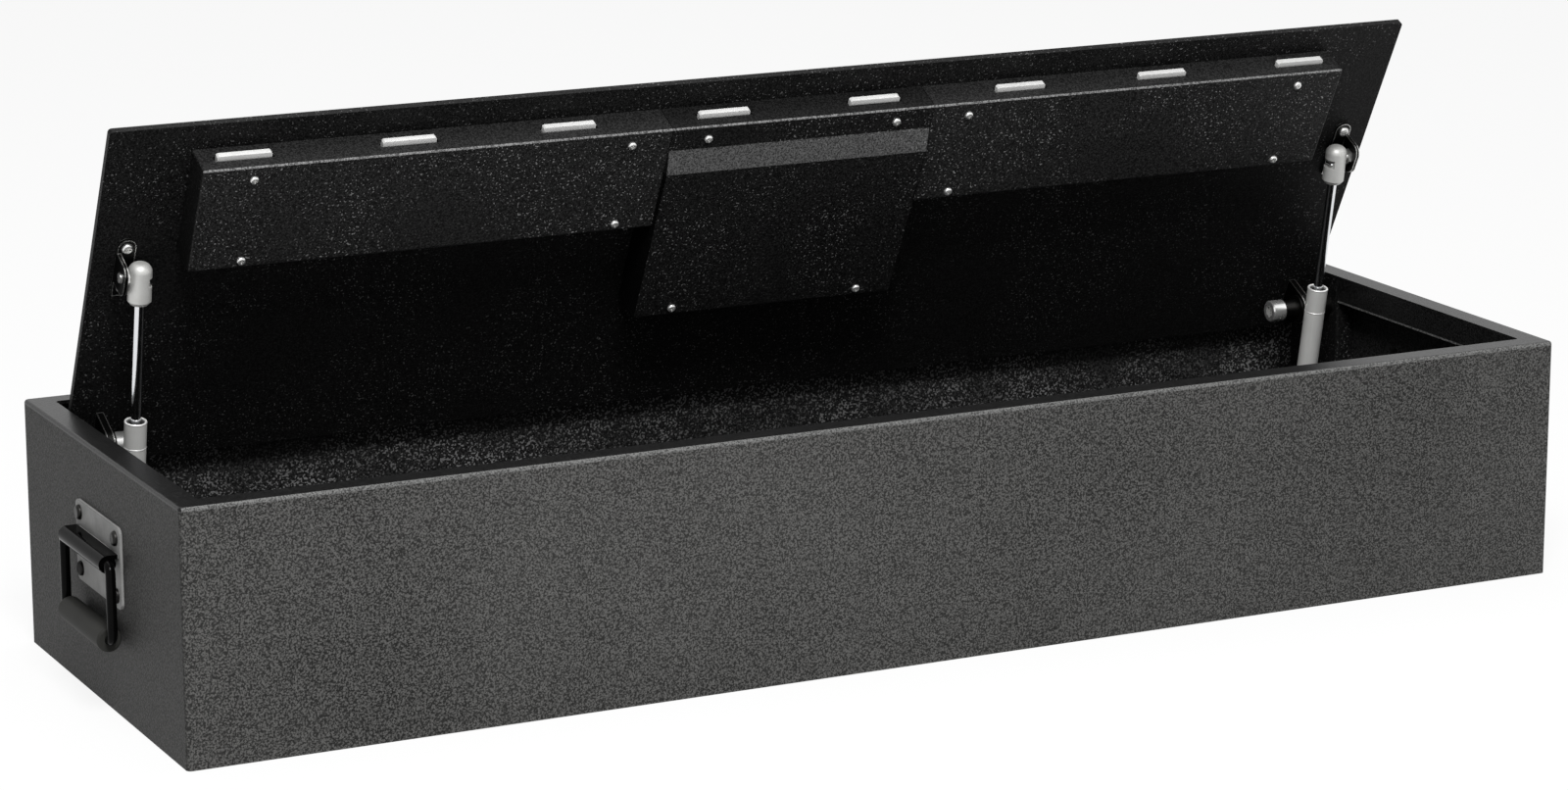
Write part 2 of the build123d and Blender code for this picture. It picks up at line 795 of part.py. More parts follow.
def guide_posts():
    """Shouldered posts under the lid that the slots of the bolt bar slide on."""
    shoulder = bar_below_lid - guide_play
    end = bar_below_lid + bar_thickness + guide_play + guide_clip_thickness + guide_pin_proud
    posts = []
    for x in guide_x():
        post = post_under_lid(guide_shoulder_radius, x, guide_post_front, (0, shoulder))
        posts.append(post + post_under_lid(guide_pin_radius, x, guide_post_front, (shoulder, end)))
    return Compound(posts)


def guide_clips():
    """Retaining rings on the guide posts."""
    start = bar_below_lid + bar_thickness + guide_play
    below = (start, start + guide_clip_thickness)
    rings = []
    for x in guide_x():
        ring = post_under_lid(guide_clip_radius, x, guide_post_front, below)
        hole = post_under_lid(guide_pin_radius, x, guide_post_front, (below[0] - over, below[1] + over))
        rings.append(ring - hole)
    return Compound(rings)


def rack_outline():
    """Corners of the toothed edge, from the lid's front edge backwards, as X and distance."""
    pitch = math.pi * gear_module
    slope = math.tan(math.radians(pressure_angle))
    tip_x = pitch_radius - gear_module
    half_tip = pitch / 4 - gear_backlash - gear_module * slope
    half_root = half_tip + (rack_root_x - tip_x) * slope
    travel_teeth = math.ceil(bar_travel / pitch)
    corners = []
    for n in range(-rack_spare_teeth, travel_teeth + rack_spare_teeth):
        middle = spindle_from_edge + (n + 0.5) * pitch
        corners += [
            (rack_root_x, middle - half_root),
            (tip_x, middle - half_tip),
            (tip_x, middle + half_tip),
            (rack_root_x, middle + half_root),
        ]
    return corners


def sketch_under_lid(points, below):
    """Plate with the given outline of X and distance from the front edge, between two depths."""
    world = [(x, lid_front + away, lid_under - below[1]) for x, away in points]
    return extrude(make_face(Polyline(*world, close=True)), below[1] - below[0], dir=(0, 0, 1))


def bolt_bar():
    """The sliding bar, with its tabs, guide slots, reliefs, rack and latch notches."""
    below = (bar_below_lid, bar_below_lid + bar_thickness)
    bar = under_lid((-bar_half_length, bar_half_length), (bar_front, bar_rear), below)
    relief_gap = bridge_side_gap + bridge_thickness + bridge_side_gap
    relief_rear = bridge_rear + bar_travel + bridge_rear_gap
    for centre in tab_centres():
        edge = tab_width / 2
        tab = under_lid((centre - edge, centre + edge), (tab_tip, bar_rear), below)
        tips = tab.edges().filter_by(Axis.Z).group_by(Axis.Y)[0]
        bar += chamfer(tips, tab_chamfer)
        for low in (centre - edge - relief_gap, centre + edge):
            bar -= under_lid((low, low + relief_gap), (0, relief_rear), below)
    post_relief = post_radius + post_gap
    for x in (-cover_screw_inner_x, cover_screw_inner_x):
        rear = cover_screw_front + bar_travel + post_relief
        bar -= under_lid((x - post_relief, x + post_relief), (0, rear), below)
    for x in guide_x():
        slot = [post_under_lid(guide_pin_radius + guide_play, x, away, below)
                for away in (guide_post_front, guide_post_front + bar_travel)]
        half = guide_pin_radius + guide_play
        middle = under_lid((x - half, x + half), (guide_post_front, guide_post_front + bar_travel), below)
        bar -= slot[0] + slot[1] + middle
    teeth = rack_outline()
    tongue_front = bar_rear - over
    tongue_rear = teeth[-1][1] + rack_margin
    outer_x = rack_root_x + tongue_width
    outline = [
        (rack_root_x, tongue_front),
        *teeth,
        (rack_root_x, tongue_rear),
        (outer_x, tongue_rear),
        (outer_x, tongue_front),
    ]
    bar += sketch_under_lid(outline, below)
    half_notch = latch_width / 2 + side_gap
    for away in (latch_from_edge, latch_from_edge + bar_travel):
        depth_x = (outer_x + latch_stand_off - latch_travel - notch_gap, outer_x + over)
        bar -= under_lid(depth_x, (away - half_notch, away + half_notch), below)
    return bar


def involute(base_radius, radius):
    """Angle in radians that an involute has turned through at a radius."""
    roll = math.sqrt(max((radius / base_radius) ** 2 - 1, 0))
    return roll - math.atan(roll)


def drive_pinion():
    """Spur pinion on the spindle, with involute teeth that mesh with the rack."""
    base_radius = pitch_radius * math.cos(math.radians(pressure_angle))
    tip_radius = pitch_radius + gear_module
    root_radius = pitch_radius - dedendum_share * gear_module
    half_pitch_angle = (math.pi * gear_module / 4 - gear_backlash) / pitch_radius
    at_pitch = involute(base_radius, pitch_radius)
    flank = [(root_radius, half_pitch_angle + at_pitch)]
    for n in range(flank_steps + 1):
        radius = base_radius + (tip_radius - base_radius) * n / flank_steps
        flank.append((radius, half_pitch_angle + at_pitch - involute(base_radius, radius)))
    points = []
    for tooth in range(pinion_teeth):
        middle = 2 * math.pi * tooth / pinion_teeth
        rising = [(radius, middle - angle) for radius, angle in flank]
        falling = [(radius, middle + angle) for radius, angle in reversed(flank)]
        points += [(r * math.cos(a), r * math.sin(a)) for r, a in rising + falling]
    gear = extrude(make_face(Polyline(*points, close=True)), pinion_thickness)
    gear -= bar_z(spindle_radius, 0, 0, (-over, pinion_thickness + over))
    return Pos(0, lid_front + spindle_from_edge, lid_under - pinion_below[1]) * gear


def lug_places():
    """X and distance from the front edge of the lock case's two fixing screws."""
    x = case_start_x + case_length_x + case_lug_length / 2
    return [(x, case_front + case_lug_margin), (x, case_rear - case_lug_margin)]


def lock_case():
    """Case of the combination lock under the lid, with a channel for its latch."""
    x = (case_start_x, case_start_x + case_length_x)
    case = under_lid(x, (case_front, case_rear), (0, case_depth))
    case = fillet(case.edges().filter_by(lambda edge: edge.center().Z < lid_under - over), case_edge_radius)
    for lug_x, away in lug_places():
        half = case_lug_width / 2
        lug_reach = (x[1] - over, lug_x + case_lug_length / 2)
        case += under_lid(lug_reach, (away - half, away + half), (0, case_lug_thickness))
        case -= post_under_lid(cover_screw_radius + hole_fit, lug_x, away, (-over, case_lug_thickness + over))
    half = latch_width / 2 + side_gap
    channel_below = (bar_below_lid - side_gap, bar_below_lid + bar_thickness + side_gap)
    latch_rear = latch_tip_x() + latch_length
    channel = (x[0] - over, latch_rear + side_gap)
    case -= under_lid(channel, (latch_from_edge - half, latch_from_edge + half), channel_below)
    for away in button_places():
        case -= post_under_lid(button_stem_radius + stem_hole_gap, button_x, away, (-over, stem_socket_depth))
    return case


def latch_tip_x():
    """X of the latch's tip when it is drawn back from the bolt bar."""
    return rack_root_x + tongue_width + latch_stand_off


def latch_bolt():
    """The lock's latch, which slides into a notch of the bolt bar."""
    half = latch_width / 2
    x = (latch_tip_x(), latch_tip_x() + latch_length)
    below = (bar_below_lid, bar_below_lid + bar_thickness)
    latch = under_lid(x, (latch_from_edge - half, latch_from_edge + half), below)
    return chamfer(latch.edges().filter_by(Axis.Z).group_by(Axis.X)[0], latch_chamfer)


def button_places():
    """Distances of the push buttons from the lid's front edge."""
    first = spindle_from_edge - button_pitch * (button_count - 1) / 2
    return [first + button_pitch * n for n in range(button_count)]


def lock_face():
    """Face plate on the outside of the lid, round the knob and the push buttons."""
    x = (-face_left_margin, button_x + face_right_margin)
    places = button_places()
    away = (places[0] - face_end_margin, places[-1] + face_end_margin)
    plate = under_lid(x, away, (-lid_thickness - face_thickness, -lid_thickness))
    plate = fillet(plate.edges().filter_by(Axis.Z), face_corner_radius)
    plate = fillet(plate.faces().sort_by(Axis.Z)[-1].edges(), face_edge_radius)
    bush_hole = (-lid_thickness - face_thickness - over, 0)
    plate -= post_under_lid(bush_radius + side_gap, 0, spindle_from_edge, bush_hole)
    pocket = box_height + button_travel + button_flange_thickness + button_stop_gap
    for place in places:
        y = lid_front + place
        plate -= bar_z(button_radius + hole_fit, button_x, y, (box_height - over, face_top + over))
        plate -= bar_z(button_flange_radius + side_gap, button_x, y, (box_height - over, pocket + hole_fit))
    return plate


def push_button(away):
    """One push button, with the flange that stops it and the stem that works the lock."""
    y = lid_front + away
    flange_low = box_height + button_travel + button_stop_gap
    flange_high = flange_low + button_flange_thickness
    top = face_top + button_proud
    cap = bar_z(button_radius, button_x, y, (flange_high, top))
    cap = fillet(cap.edges().sort_by(Axis.Z)[-1], button_edge_radius)
    flange = bar_z(button_flange_radius, button_x, y, (flange_low, flange_high))
    stem_end = lid_under - stem_socket_depth + button_travel + stem_end_gap
    return cap + flange + bar_z(button_stem_radius, button_x, y, (stem_end, flange_low))


def spindle_bush():
    """Flanged bush in the lid that the spindle turns in."""
    top = -lid_thickness - face_thickness + side_gap
    end = pinion_below[0] - side_gap
    bush = post_under_lid(bush_radius, 0, spindle_from_edge, (top, end))
    bush += post_under_lid(bush_flange_radius, 0, spindle_from_edge, (0, bush_flange_thickness))
    bore = (top - over, end + over)
    return bush - post_under_lid(spindle_radius + turn_fit, 0, spindle_from_edge, bore)


def knob_base():
    """Height of the knob's underside above the inner face of the lid."""
    return lid_thickness + face_thickness + side_gap


def spindle():
    """Spindle from the knob to the pinion, with a collar below the pinion."""
    collar = (pinion_below[1] + side_gap, pinion_below[1] + side_gap + spindle_collar_length)
    top = -knob_base() - knob_socket_depth
    shaft = post_under_lid(spindle_radius, 0, spindle_from_edge, (top, collar[1]))
    return shaft + post_under_lid(spindle_collar_radius, 0, spindle_from_edge, collar)


def turn_knob():
    """The knob: a round disc with a raised grip across it."""
    base = lid_under + knob_base()
    y = lid_front + spindle_from_edge
    disc = bar_z(knob_radius, 0, y, (base, base + knob_disc_thickness))
    disc = fillet(disc.edges().sort_by(Axis.Z)[-1], knob_edge_radius)
    grip_top = base + knob_disc_thickness + knob_grip_height
    grip_half = knob_radius - knob_grip_inset
    half_width = knob_grip_width / 2
    grip_base = base + knob_disc_thickness / 2
    grip = span((-half_width, half_width), (y - grip_half, y + grip_half), (grip_base, grip_top))
    grip = fillet(grip.edges().filter_by(Axis.Z), half_width - knob_grip_flat / 2)
    grip = fillet(grip.faces().sort_by(Axis.Z)[-1].edges(), knob_edge_radius)
    socket = bar_z(spindle_radius, 0, y, (base - over, base + knob_socket_depth))
    return disc + grip - socket


def rivet_places():
    """Y and Z of the rivets of a carry handle."""
    return [(y, z) for y in (-rivet_y, rivet_y) for z in (rivet_low, rivet_high)]


def handle_plate():
    """Plate on the right end wall with the rolled knuckle that carries the bail."""
    face = (half_length, half_length + handle_plate_thickness)
    half = handle_plate_width / 2
    height = (rivet_low - plate_below_rivets, rivet_high + plate_above_rivets)
    plate = span(face, (-half, half), height)
    plate = fillet(plate.edges().filter_by(Axis.X), handle_plate_corner)
    for y, z in rivet_places():
        plate -= bar_x(rivet_radius + hole_fit, (face[0] - over, face[1] + over), y, z)
    axis_x = half_length + handle_axis_out
    reach = (-knuckle_half_length, knuckle_half_length)
    web_top = handle_axis_height + knuckle_radius
    web = span((face[0], axis_x), reach, (web_top - knuckle_web, web_top))
    knuckle = bar_y(knuckle_radius, axis_x, reach, handle_axis_height)
    bore = bar_y(wire_radius + wire_fit, axis_x, (reach[0] - over, reach[1] + over), handle_axis_height)
    return plate + web + knuckle - bore


def handle_rivets():
    """Rivets of both carry handles, headed outside and peened inside."""
    rivets = []
    outer_face = half_length + handle_plate_thickness
    inner_face = half_length - wall
    for y, z in rivet_places():
        shank = bar_x(rivet_radius, (inner_face, outer_face), y, z)
        head = bar_x(rivet_head_radius, (outer_face, outer_face + rivet_head_height), y, z)
        head = fillet(head.edges().sort_by(Axis.X)[-1], rivet_head_height * rivet_dome_share)
        tail = bar_x(rivet_tail_radius, (inner_face - rivet_tail_height, inner_face), y, z)
        rivets.append(shank + head + tail)
    return Compound([*rivets, *[to_left(rivet) for rivet in rivets]])


def handle_bail():
    """Bent wire of the right carry handle, hanging, with its ends in the knuckle."""
    x = half_length + handle_axis_out
    low = handle_axis_height - bail_drop
    high = handle_axis_height
    route = [
        (x, bail_end, high),
        (x, bail_half_width, high),
        (x, bail_half_width, low),
        (x, -bail_half_width, low),
        (x, -bail_half_width, high),
        (x, -bail_end, high),
    ]
    top_bend = bail_half_width - knuckle_half_length
    low_bend = bail_half_width - grip_half_length
    path = FilletPolyline(*route, radius=[top_bend, low_bend, low_bend, top_bend])
    start = Plane(origin=path @ 0, z_dir=path % 0)
    return sweep(start * Circle(wire_radius), path)


def handle_grip():
    """Plastic grip round the low bar of the right bail."""
    x = half_length + handle_axis_out
    z = handle_axis_height - bail_drop
    reach = (-grip_half_length, grip_half_length)
    grip = bar_y(grip_radius, x, reach, z)
    grip = fillet(grip.edges().filter_by(GeomType.CIRCLE), grip_edge_radius)
    return grip - bar_y(wire_radius + hole_fit, x, (reach[0] - over, reach[1] + over), z)


def along_strut(shape, end, flip):
    """Places a piece drawn along Z on the right strut, from its foot or from its head."""
    y, z = end
    turn = strut_tilt + (180 if flip else 0)
    return Pos(strut_x, y, z) * Rot(turn, 0, 0) * shape


def strut_socket():
    """Ball socket along Z, with its ball at the origin, its mouth towards +X and a notch behind."""
    outline = [
        (0, -socket_crown),
        (socket_radius, -socket_crown),
        (socket_radius, socket_body),
        (socket_end_radius, tube_start),
        (0, tube_start),
    ]
    face = make_face(Polyline(*[(r, 0, z) for r, z in outline], close=True))
    body = revolve(face, Axis.Z)
    crown = body.edges().filter_by(GeomType.CIRCLE).sort_by(Axis.Z)[0]
    body = fillet(crown, socket_crown_radius)
    cavity = ball_radius + turn_fit
    mouth = bar_x(stud_neck_radius + 2 * hole_fit, (0, socket_radius + over), 0, 0)
    notch = span(
        (-socket_radius - over, -cavity - notch_wall),
        (-socket_radius, socket_radius),
        (notch_start, notch_start + notch_height),
    )
    body -= Sphere(cavity) + mouth + notch
    for y in (-clip_half, clip_half):
        body -= bar_x(clip_wire_radius + hole_fit, (-socket_radius, clip_reach + over), y, clip_level())
    return body


def clip_level():
    """Distance of the clip's wire from the ball, in the middle of the notch."""
    return notch_start + notch_height / 2


def strut_tube():
    """Pressure tube of a strut, open at its rod end, along Z from the foot."""
    tube = bar_z(tube_radius, 0, 0, (tube_start, tube_end))
    tube = fillet(tube.edges().filter_by(GeomType.CIRCLE).sort_by(Axis.Z)[-1], tube_edge_radius)
    tube -= bar_z(tube_radius - tube_wall, 0, 0, (tube_start + tube_base, tube_end + over))
    groove_middle = tube_end - tube_groove_from_end
    groove_reach = (groove_middle - tube_groove_width / 2, groove_middle + tube_groove_width / 2)
    ring = bar_z(tube_radius + over, 0, 0, groove_reach)
    ring -= bar_z(tube_radius - tube_groove_depth, 0, 0, groove_reach)
    return tube - ring


def strut_gland():
    """Guide and seal in the mouth of the tube, with play round the rod."""
    top = tube_end - gland_recess
    gland = bar_z(tube_radius - tube_wall, 0, 0, (top - gland_thickness, top))
    return gland - bar_z(rod_radius + gland_play, 0, 0, (top - gland_thickness - over, top + over))


def strut_rod():
    """Rod with its piston, along Z from the head's ball towards the foot."""
    rod = bar_z(rod_radius, 0, 0, (tube_start, rod_length))
    return rod + bar_z(piston_radius, 0, 0, (rod_length - piston_length, rod_length))


def strut_clip():
    """Spring wire bent in the socket's notch, with a leg past each side of the ball."""
    back = -ball_radius - turn_fit - notch_wall - clip_bend_radius
    route = [
        (clip_reach, clip_half, clip_level()),
        (back, clip_half, clip_level()),
        (back, -clip_half, clip_level()),
        (clip_reach, -clip_half, clip_level()),
    ]
    path = FilletPolyline(*route, radius=clip_bend_radius)
    start = Plane(origin=path @ 0, z_dir=path % 0)
    return sweep(start * Circle(clip_wire_radius), path)


def write(name, shape):
    """Writes one named piece and says what it is made of."""
    export_step(shape, f"parts/{name}.step")
    print(name, len(shape.solids()), round(shape.volume))


def write_pair(name, shape):
    """Writes a right-hand piece and its left-hand twin."""
    write(f"{name}_right", shape)
    write(f"{name}_left", to_left(shape))


os.makedirs("parts", exist_ok=True)

write("shell_body", shell_body())
write("floor_plate", floor_plate())
write("rim_frame", rim_frame())
write_pair("hinge_pillar", hinge_pillar())
write("pivot_bolts", both_ends(pivot_bolt(head_outer_x), pivot_bolt(left_head_outer_x)))
write("pivot_sleeves", both_ends(pivot_sleeve(head_outer_x), pivot_sleeve(left_head_outer_x)))
write("pivot_washers", both_ends(pivot_washer()))
write("pivot_nuts", both_ends(pivot_nut()))
write_pair("strut_bracket_lower", lower_bracket())
write("lower_ball_studs", both_ends(lower_ball_stud()))
write("lower_mount_screws", lower_mount_screws())
write_pair("handle_plate", handle_plate())
write("handle_rivets", handle_rivets())
write_pair("handle_bail", handle_bail())
write_pair("handle_grip", handle_grip())

write("lid_plate", open_lid(lid_plate()))
write_pair("hinge_ear", open_lid(hinge_ear()))
write_pair("lock_cover", open_lid(side_cover()))
write("lock_cover_middle", open_lid(middle_cover()))
write("cover_screws", open_lid(cover_screws()))
write("cover_posts", open_lid(cover_posts()))
write("bolt_bridges", open_lid(bolt_bridges()))
write("guide_posts", open_lid(guide_posts()))
write("guide_clips", open_lid(guide_clips()))
write_pair("strut_bracket_upper", open_lid(upper_bracket()))
write("upper_ball_studs", open_lid(both_ends(upper_ball_stud())))
write("upper_mount_screws", open_lid(upper_mount_screws()))
write("lock_case", open_lid(lock_case()))
write("lock_face", open_lid(lock_face()))
write("spindle_bush", open_lid(spindle_bush()))

write("bolt_bar", open_lid(bolt_bar()))
write("latch_bolt", open_lid(latch_bolt()))
write("turn_knob", open_lid(turn_knob()))
write("spindle", open_lid(spindle()))
write("drive_pinion", open_lid(drive_pinion()))
for number, place in enumerate(button_places(), start=1):
    write(f"push_button_{number}", open_lid(push_button(place)))

write_pair("strut_socket_lower", along_strut(strut_socket(), strut_foot, False))
write_pair("strut_tube", along_strut(strut_tube(), strut_foot, False))
write_pair("strut_gland", along_strut(strut_gland(), strut_foot, False))
write_pair("strut_socket_upper", along_strut(strut_socket(), strut_head, True))
write_pair("strut_rod", along_strut(strut_rod(), strut_head, True))
write_pair("strut_clip", along_strut(strut_clip(), strut_head, True))
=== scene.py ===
# %% [markdown]
# # A trunk safe, dressed in Blender
#
# The safe is a long, low steel box that is bolted down in a vehicle. Its lid opens on two gas
# struts, and a sliding bar with locking tabs runs under three thin covers. The CAD model already
# holds every piece at its true size and place, in metres. So this lesson changes no shape of
# it: it gives each piece the finish of the real one, adds what is too fine for CAD, and sets up
# a small photo studio.

# %% Load the CAD frame
import json
import math
import bpy
import bmesh
from mathutils import Matrix, Vector


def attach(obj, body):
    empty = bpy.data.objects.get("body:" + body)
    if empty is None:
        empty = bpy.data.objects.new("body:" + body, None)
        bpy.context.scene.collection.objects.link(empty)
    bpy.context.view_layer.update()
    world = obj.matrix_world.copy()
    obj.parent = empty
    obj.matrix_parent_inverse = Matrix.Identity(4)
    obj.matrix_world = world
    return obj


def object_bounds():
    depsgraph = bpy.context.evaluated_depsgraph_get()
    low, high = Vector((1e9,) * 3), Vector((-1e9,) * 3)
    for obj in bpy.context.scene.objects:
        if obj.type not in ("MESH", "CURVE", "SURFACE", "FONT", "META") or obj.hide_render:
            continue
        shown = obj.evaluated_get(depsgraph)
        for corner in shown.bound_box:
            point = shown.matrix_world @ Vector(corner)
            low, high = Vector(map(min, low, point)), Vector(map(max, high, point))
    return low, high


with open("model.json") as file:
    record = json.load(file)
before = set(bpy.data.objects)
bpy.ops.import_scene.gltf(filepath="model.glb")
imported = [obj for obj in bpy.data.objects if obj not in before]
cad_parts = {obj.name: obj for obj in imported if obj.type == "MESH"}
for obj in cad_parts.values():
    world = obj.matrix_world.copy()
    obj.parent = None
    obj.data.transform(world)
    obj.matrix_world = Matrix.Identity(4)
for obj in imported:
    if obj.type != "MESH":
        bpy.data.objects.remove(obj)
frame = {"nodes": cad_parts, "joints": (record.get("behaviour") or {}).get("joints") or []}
cad_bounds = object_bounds()
nodes = frame["nodes"]
joints = {joint["name"]: joint for joint in frame["joints"]}
print("CAD nodes:", len(nodes), "joints:", len(joints))
print("CAD box, metres:", [tuple(round(v, 4) for v in corner) for corner in cad_bounds])

# %% [markdown]
# ## Measuring the pieces
#
# Later cells need to know where the rim, the walls and the covers lie. A table of numbers would
# go wrong as soon as a piece changes, so one helper asks the CAD piece itself how far it reaches
# along a direction. The lid stands open, and its two directions come from the joint of the
# locking bar, which slides along the lid towards its front edge.

# %% Directions and reach
LENGTHWISE = Vector((1.0, 0.0, 0.0))
DEPTHWISE = Vector((0.0, 1.0, 0.0))
UPWARD = Vector((0.0, 0.0, 1.0))
LID_REARWARD = -Vector(joints["bolt_slide"]["axis"])
LID_OUTWARD = LENGTHWISE.cross(LID_REARWARD)


def reach(node, direction):
    """Lowest and highest distance of a CAD piece's points along a direction."""
    distances = [vertex.co.dot(direction) for vertex in node.data.vertices]
    return min(distances), max(distances)


half_length = reach(nodes["shell_body"], LENGTHWISE)[1]
half_depth = reach(nodes["shell_body"], DEPTHWISE)[1]
return_bottom, rim_top = reach(nodes["rim_frame"], UPWARD)
print("box, metres:", round(2 * half_length, 4), round(2 * half_depth, 4), round(rim_top, 4))

# %% [markdown]
# ## The camera
#
# A long lens, about 110 mm, makes the far end of the box nearly as tall as the near one. The
# place and the aim come from matching the corners of the box and of its lid. We write the aim
# as three angles and build the camera's own axes from them, so nothing is left to a helper
# that knows another picture size.

# %% Camera
PICTURE_WIDTH = 1600
FOCAL_PIXELS = 4810.8
SENSOR_MM = 36.0
CAMERA_PLACE = Vector((-1.6869, -3.3884, 1.0990))
YAW = math.radians(26.178)
PITCH = math.radians(13.628)
ROLL = math.radians(-0.100)


def camera_axes(yaw, pitch, roll):
    """Right, up and backward directions of a camera that looks along +Y at yaw 0."""
    forward = Vector((math.sin(yaw) * math.cos(pitch), math.cos(yaw) * math.cos(pitch), -math.sin(pitch)))
    right = Vector((math.cos(yaw), -math.sin(yaw), 0.0))
    up = right.cross(forward)
    turned_right = right * math.cos(roll) + up * math.sin(roll)
    turned_up = up * math.cos(roll) - right * math.sin(roll)
    return turned_right, turned_up, -forward


camera_data = bpy.data.cameras.new("photo_camera")
camera_data.sensor_fit = "HORIZONTAL"
camera_data.sensor_width = SENSOR_MM
camera_data.lens = FOCAL_PIXELS * SENSOR_MM / PICTURE_WIDTH
camera_data.clip_end = 100.0
camera = bpy.data.objects.new("photo_camera", camera_data)
bpy.context.scene.collection.objects.link(camera)
axes = Matrix(camera_axes(YAW, PITCH, ROLL)).transposed().to_4x4()
camera.matrix_world = Matrix.Translation(CAMERA_PLACE) @ axes
bpy.context.scene.camera = camera
print("lens, mm:", round(camera_data.lens, 1))

# %% [markdown]
# ## Shader sums
#
# A finish is a small sum: a base colour, plus speckle, minus dirt, brighter where an edge is rubbed or a
# painted highlight runs. Blender writes such sums as nodes, which are hard to read in a script. So one
# small class wraps a socket and lets us write the sum with ordinary signs, with a mask for what is above or
# below a limit. Whatever is not plain arithmetic, such as a noise or a ramp, comes from one method that
# sets a node's settings first and its sockets after.


# %% The class that wraps a socket
class Wire:
    """A value in a shader, on which + - * work as on a number."""

    def __init__(self, socket):
        self.socket = socket
        self.tree = socket.id_data

    def maths(self, operation, first, second):
        """Adds a Math node between two values."""
        node = ShaderTree.add(self.tree, "ShaderNodeMath", {"operation": operation}, {0: first, 1: second})
        return Wire(node.outputs[0])

    def above(self, limit):
        """1 where the value is above a limit, 0 elsewhere."""
        return self.maths("GREATER_THAN", self, limit)

    def below(self, limit):
        """1 where the value is below a limit, 0 elsewhere."""
        return self.maths("LESS_THAN", self, limit)

    def __add__(self, other):
        return self.maths("ADD", self, other)

    def __radd__(self, other):
        return self.maths("ADD", other, self)

    def __sub__(self, other):
        return self.maths("SUBTRACT", self, other)

    def __rsub__(self, other):
        return self.maths("SUBTRACT", other, self)

    def __mul__(self, other):
        return self.maths("MULTIPLY", self, other)

    def __rmul__(self, other):
        return self.maths("MULTIPLY", other, self)


# %% [markdown]
# ## A shader tree
#
# Every finish starts with the same two things: a Principled shader, and the place of the
# point in metres. The CAD pieces share one origin, under the middle of the safe, so object
# coordinates are real sizes. This class holds both, adds nodes, and blends colours. What is
# the same all over a surface goes on the shader's own socket, because some settings, such as
# the specular level, are lost in an export when they come through a link.


# %% The class that adds nodes
class ShaderTree:
    """A material under construction."""

    def __init__(self, name):
        self.material = bpy.data.materials.new(name)
        self.material.use_nodes = True
        self.tree = self.material.node_tree
        self.shader = self.tree.nodes["Principled BSDF"]
        self.place = self.node("ShaderNodeTexCoord").outputs["Object"]

    @staticmethod
    def add(tree, kind, settings=None, values=None):
        """Adds a node: its settings first, then the values or links of its sockets."""
        node = tree.nodes.new(kind)
        for key, value in (settings or {}).items():
            if key == "stops":
                ramp = node.color_ramp.elements
                while len(ramp) < len(value):
                    ramp.new(1.0)
                for stop, (position, level) in zip(ramp, value):
                    stop.position = position
                    stop.color = (level, level, level, 1.0)
            else:
                setattr(node, key, value)
        for key, value in (values or {}).items():
            ShaderTree.feed(tree, node.inputs[key], value)
        return node

    @staticmethod
    def feed(tree, socket, value):
        """Links a socket to a value that varies, or sets it to one that does not."""
        if isinstance(value, Wire):
            value = value.socket
        if isinstance(value, bpy.types.NodeSocket):
            tree.links.new(value, socket)
        else:
            socket.default_value = value

    def node(self, kind, settings=None, values=None):
        """Adds a node to this finish."""
        return self.add(self.tree, kind, settings, values)

    def ramp(self, value, *stops):
        """Levels that run through the given (position, level) stops."""
        made = self.node("ShaderNodeValToRGB", {"stops": stops}, {"Fac": value})
        return Wire(self.node("ShaderNodeRGBToBW", None, {"Color": made.outputs["Color"]}).outputs[0])

    def mix(self, factor, first, second):
        """A colour between two colours."""
        made = self.node("ShaderNodeMix", {"data_type": "RGBA"}, {
            "Factor": factor, 6: self.colour(first), 7: self.colour(second)})
        return made.outputs[2]

    @staticmethod
    def colour(value):
        """A colour as four numbers, or a link left as it is."""
        return (*value, 1.0) if isinstance(value, tuple) and len(value) == 3 else value

    def done(self, **sockets):
        """Sets the shader's sockets, with _ for the space in a socket's name."""
        for name, value in sockets.items():
            self.feed(self.tree, self.shader.inputs[name.replace("_", " ")], self.colour(value))
        return self.material
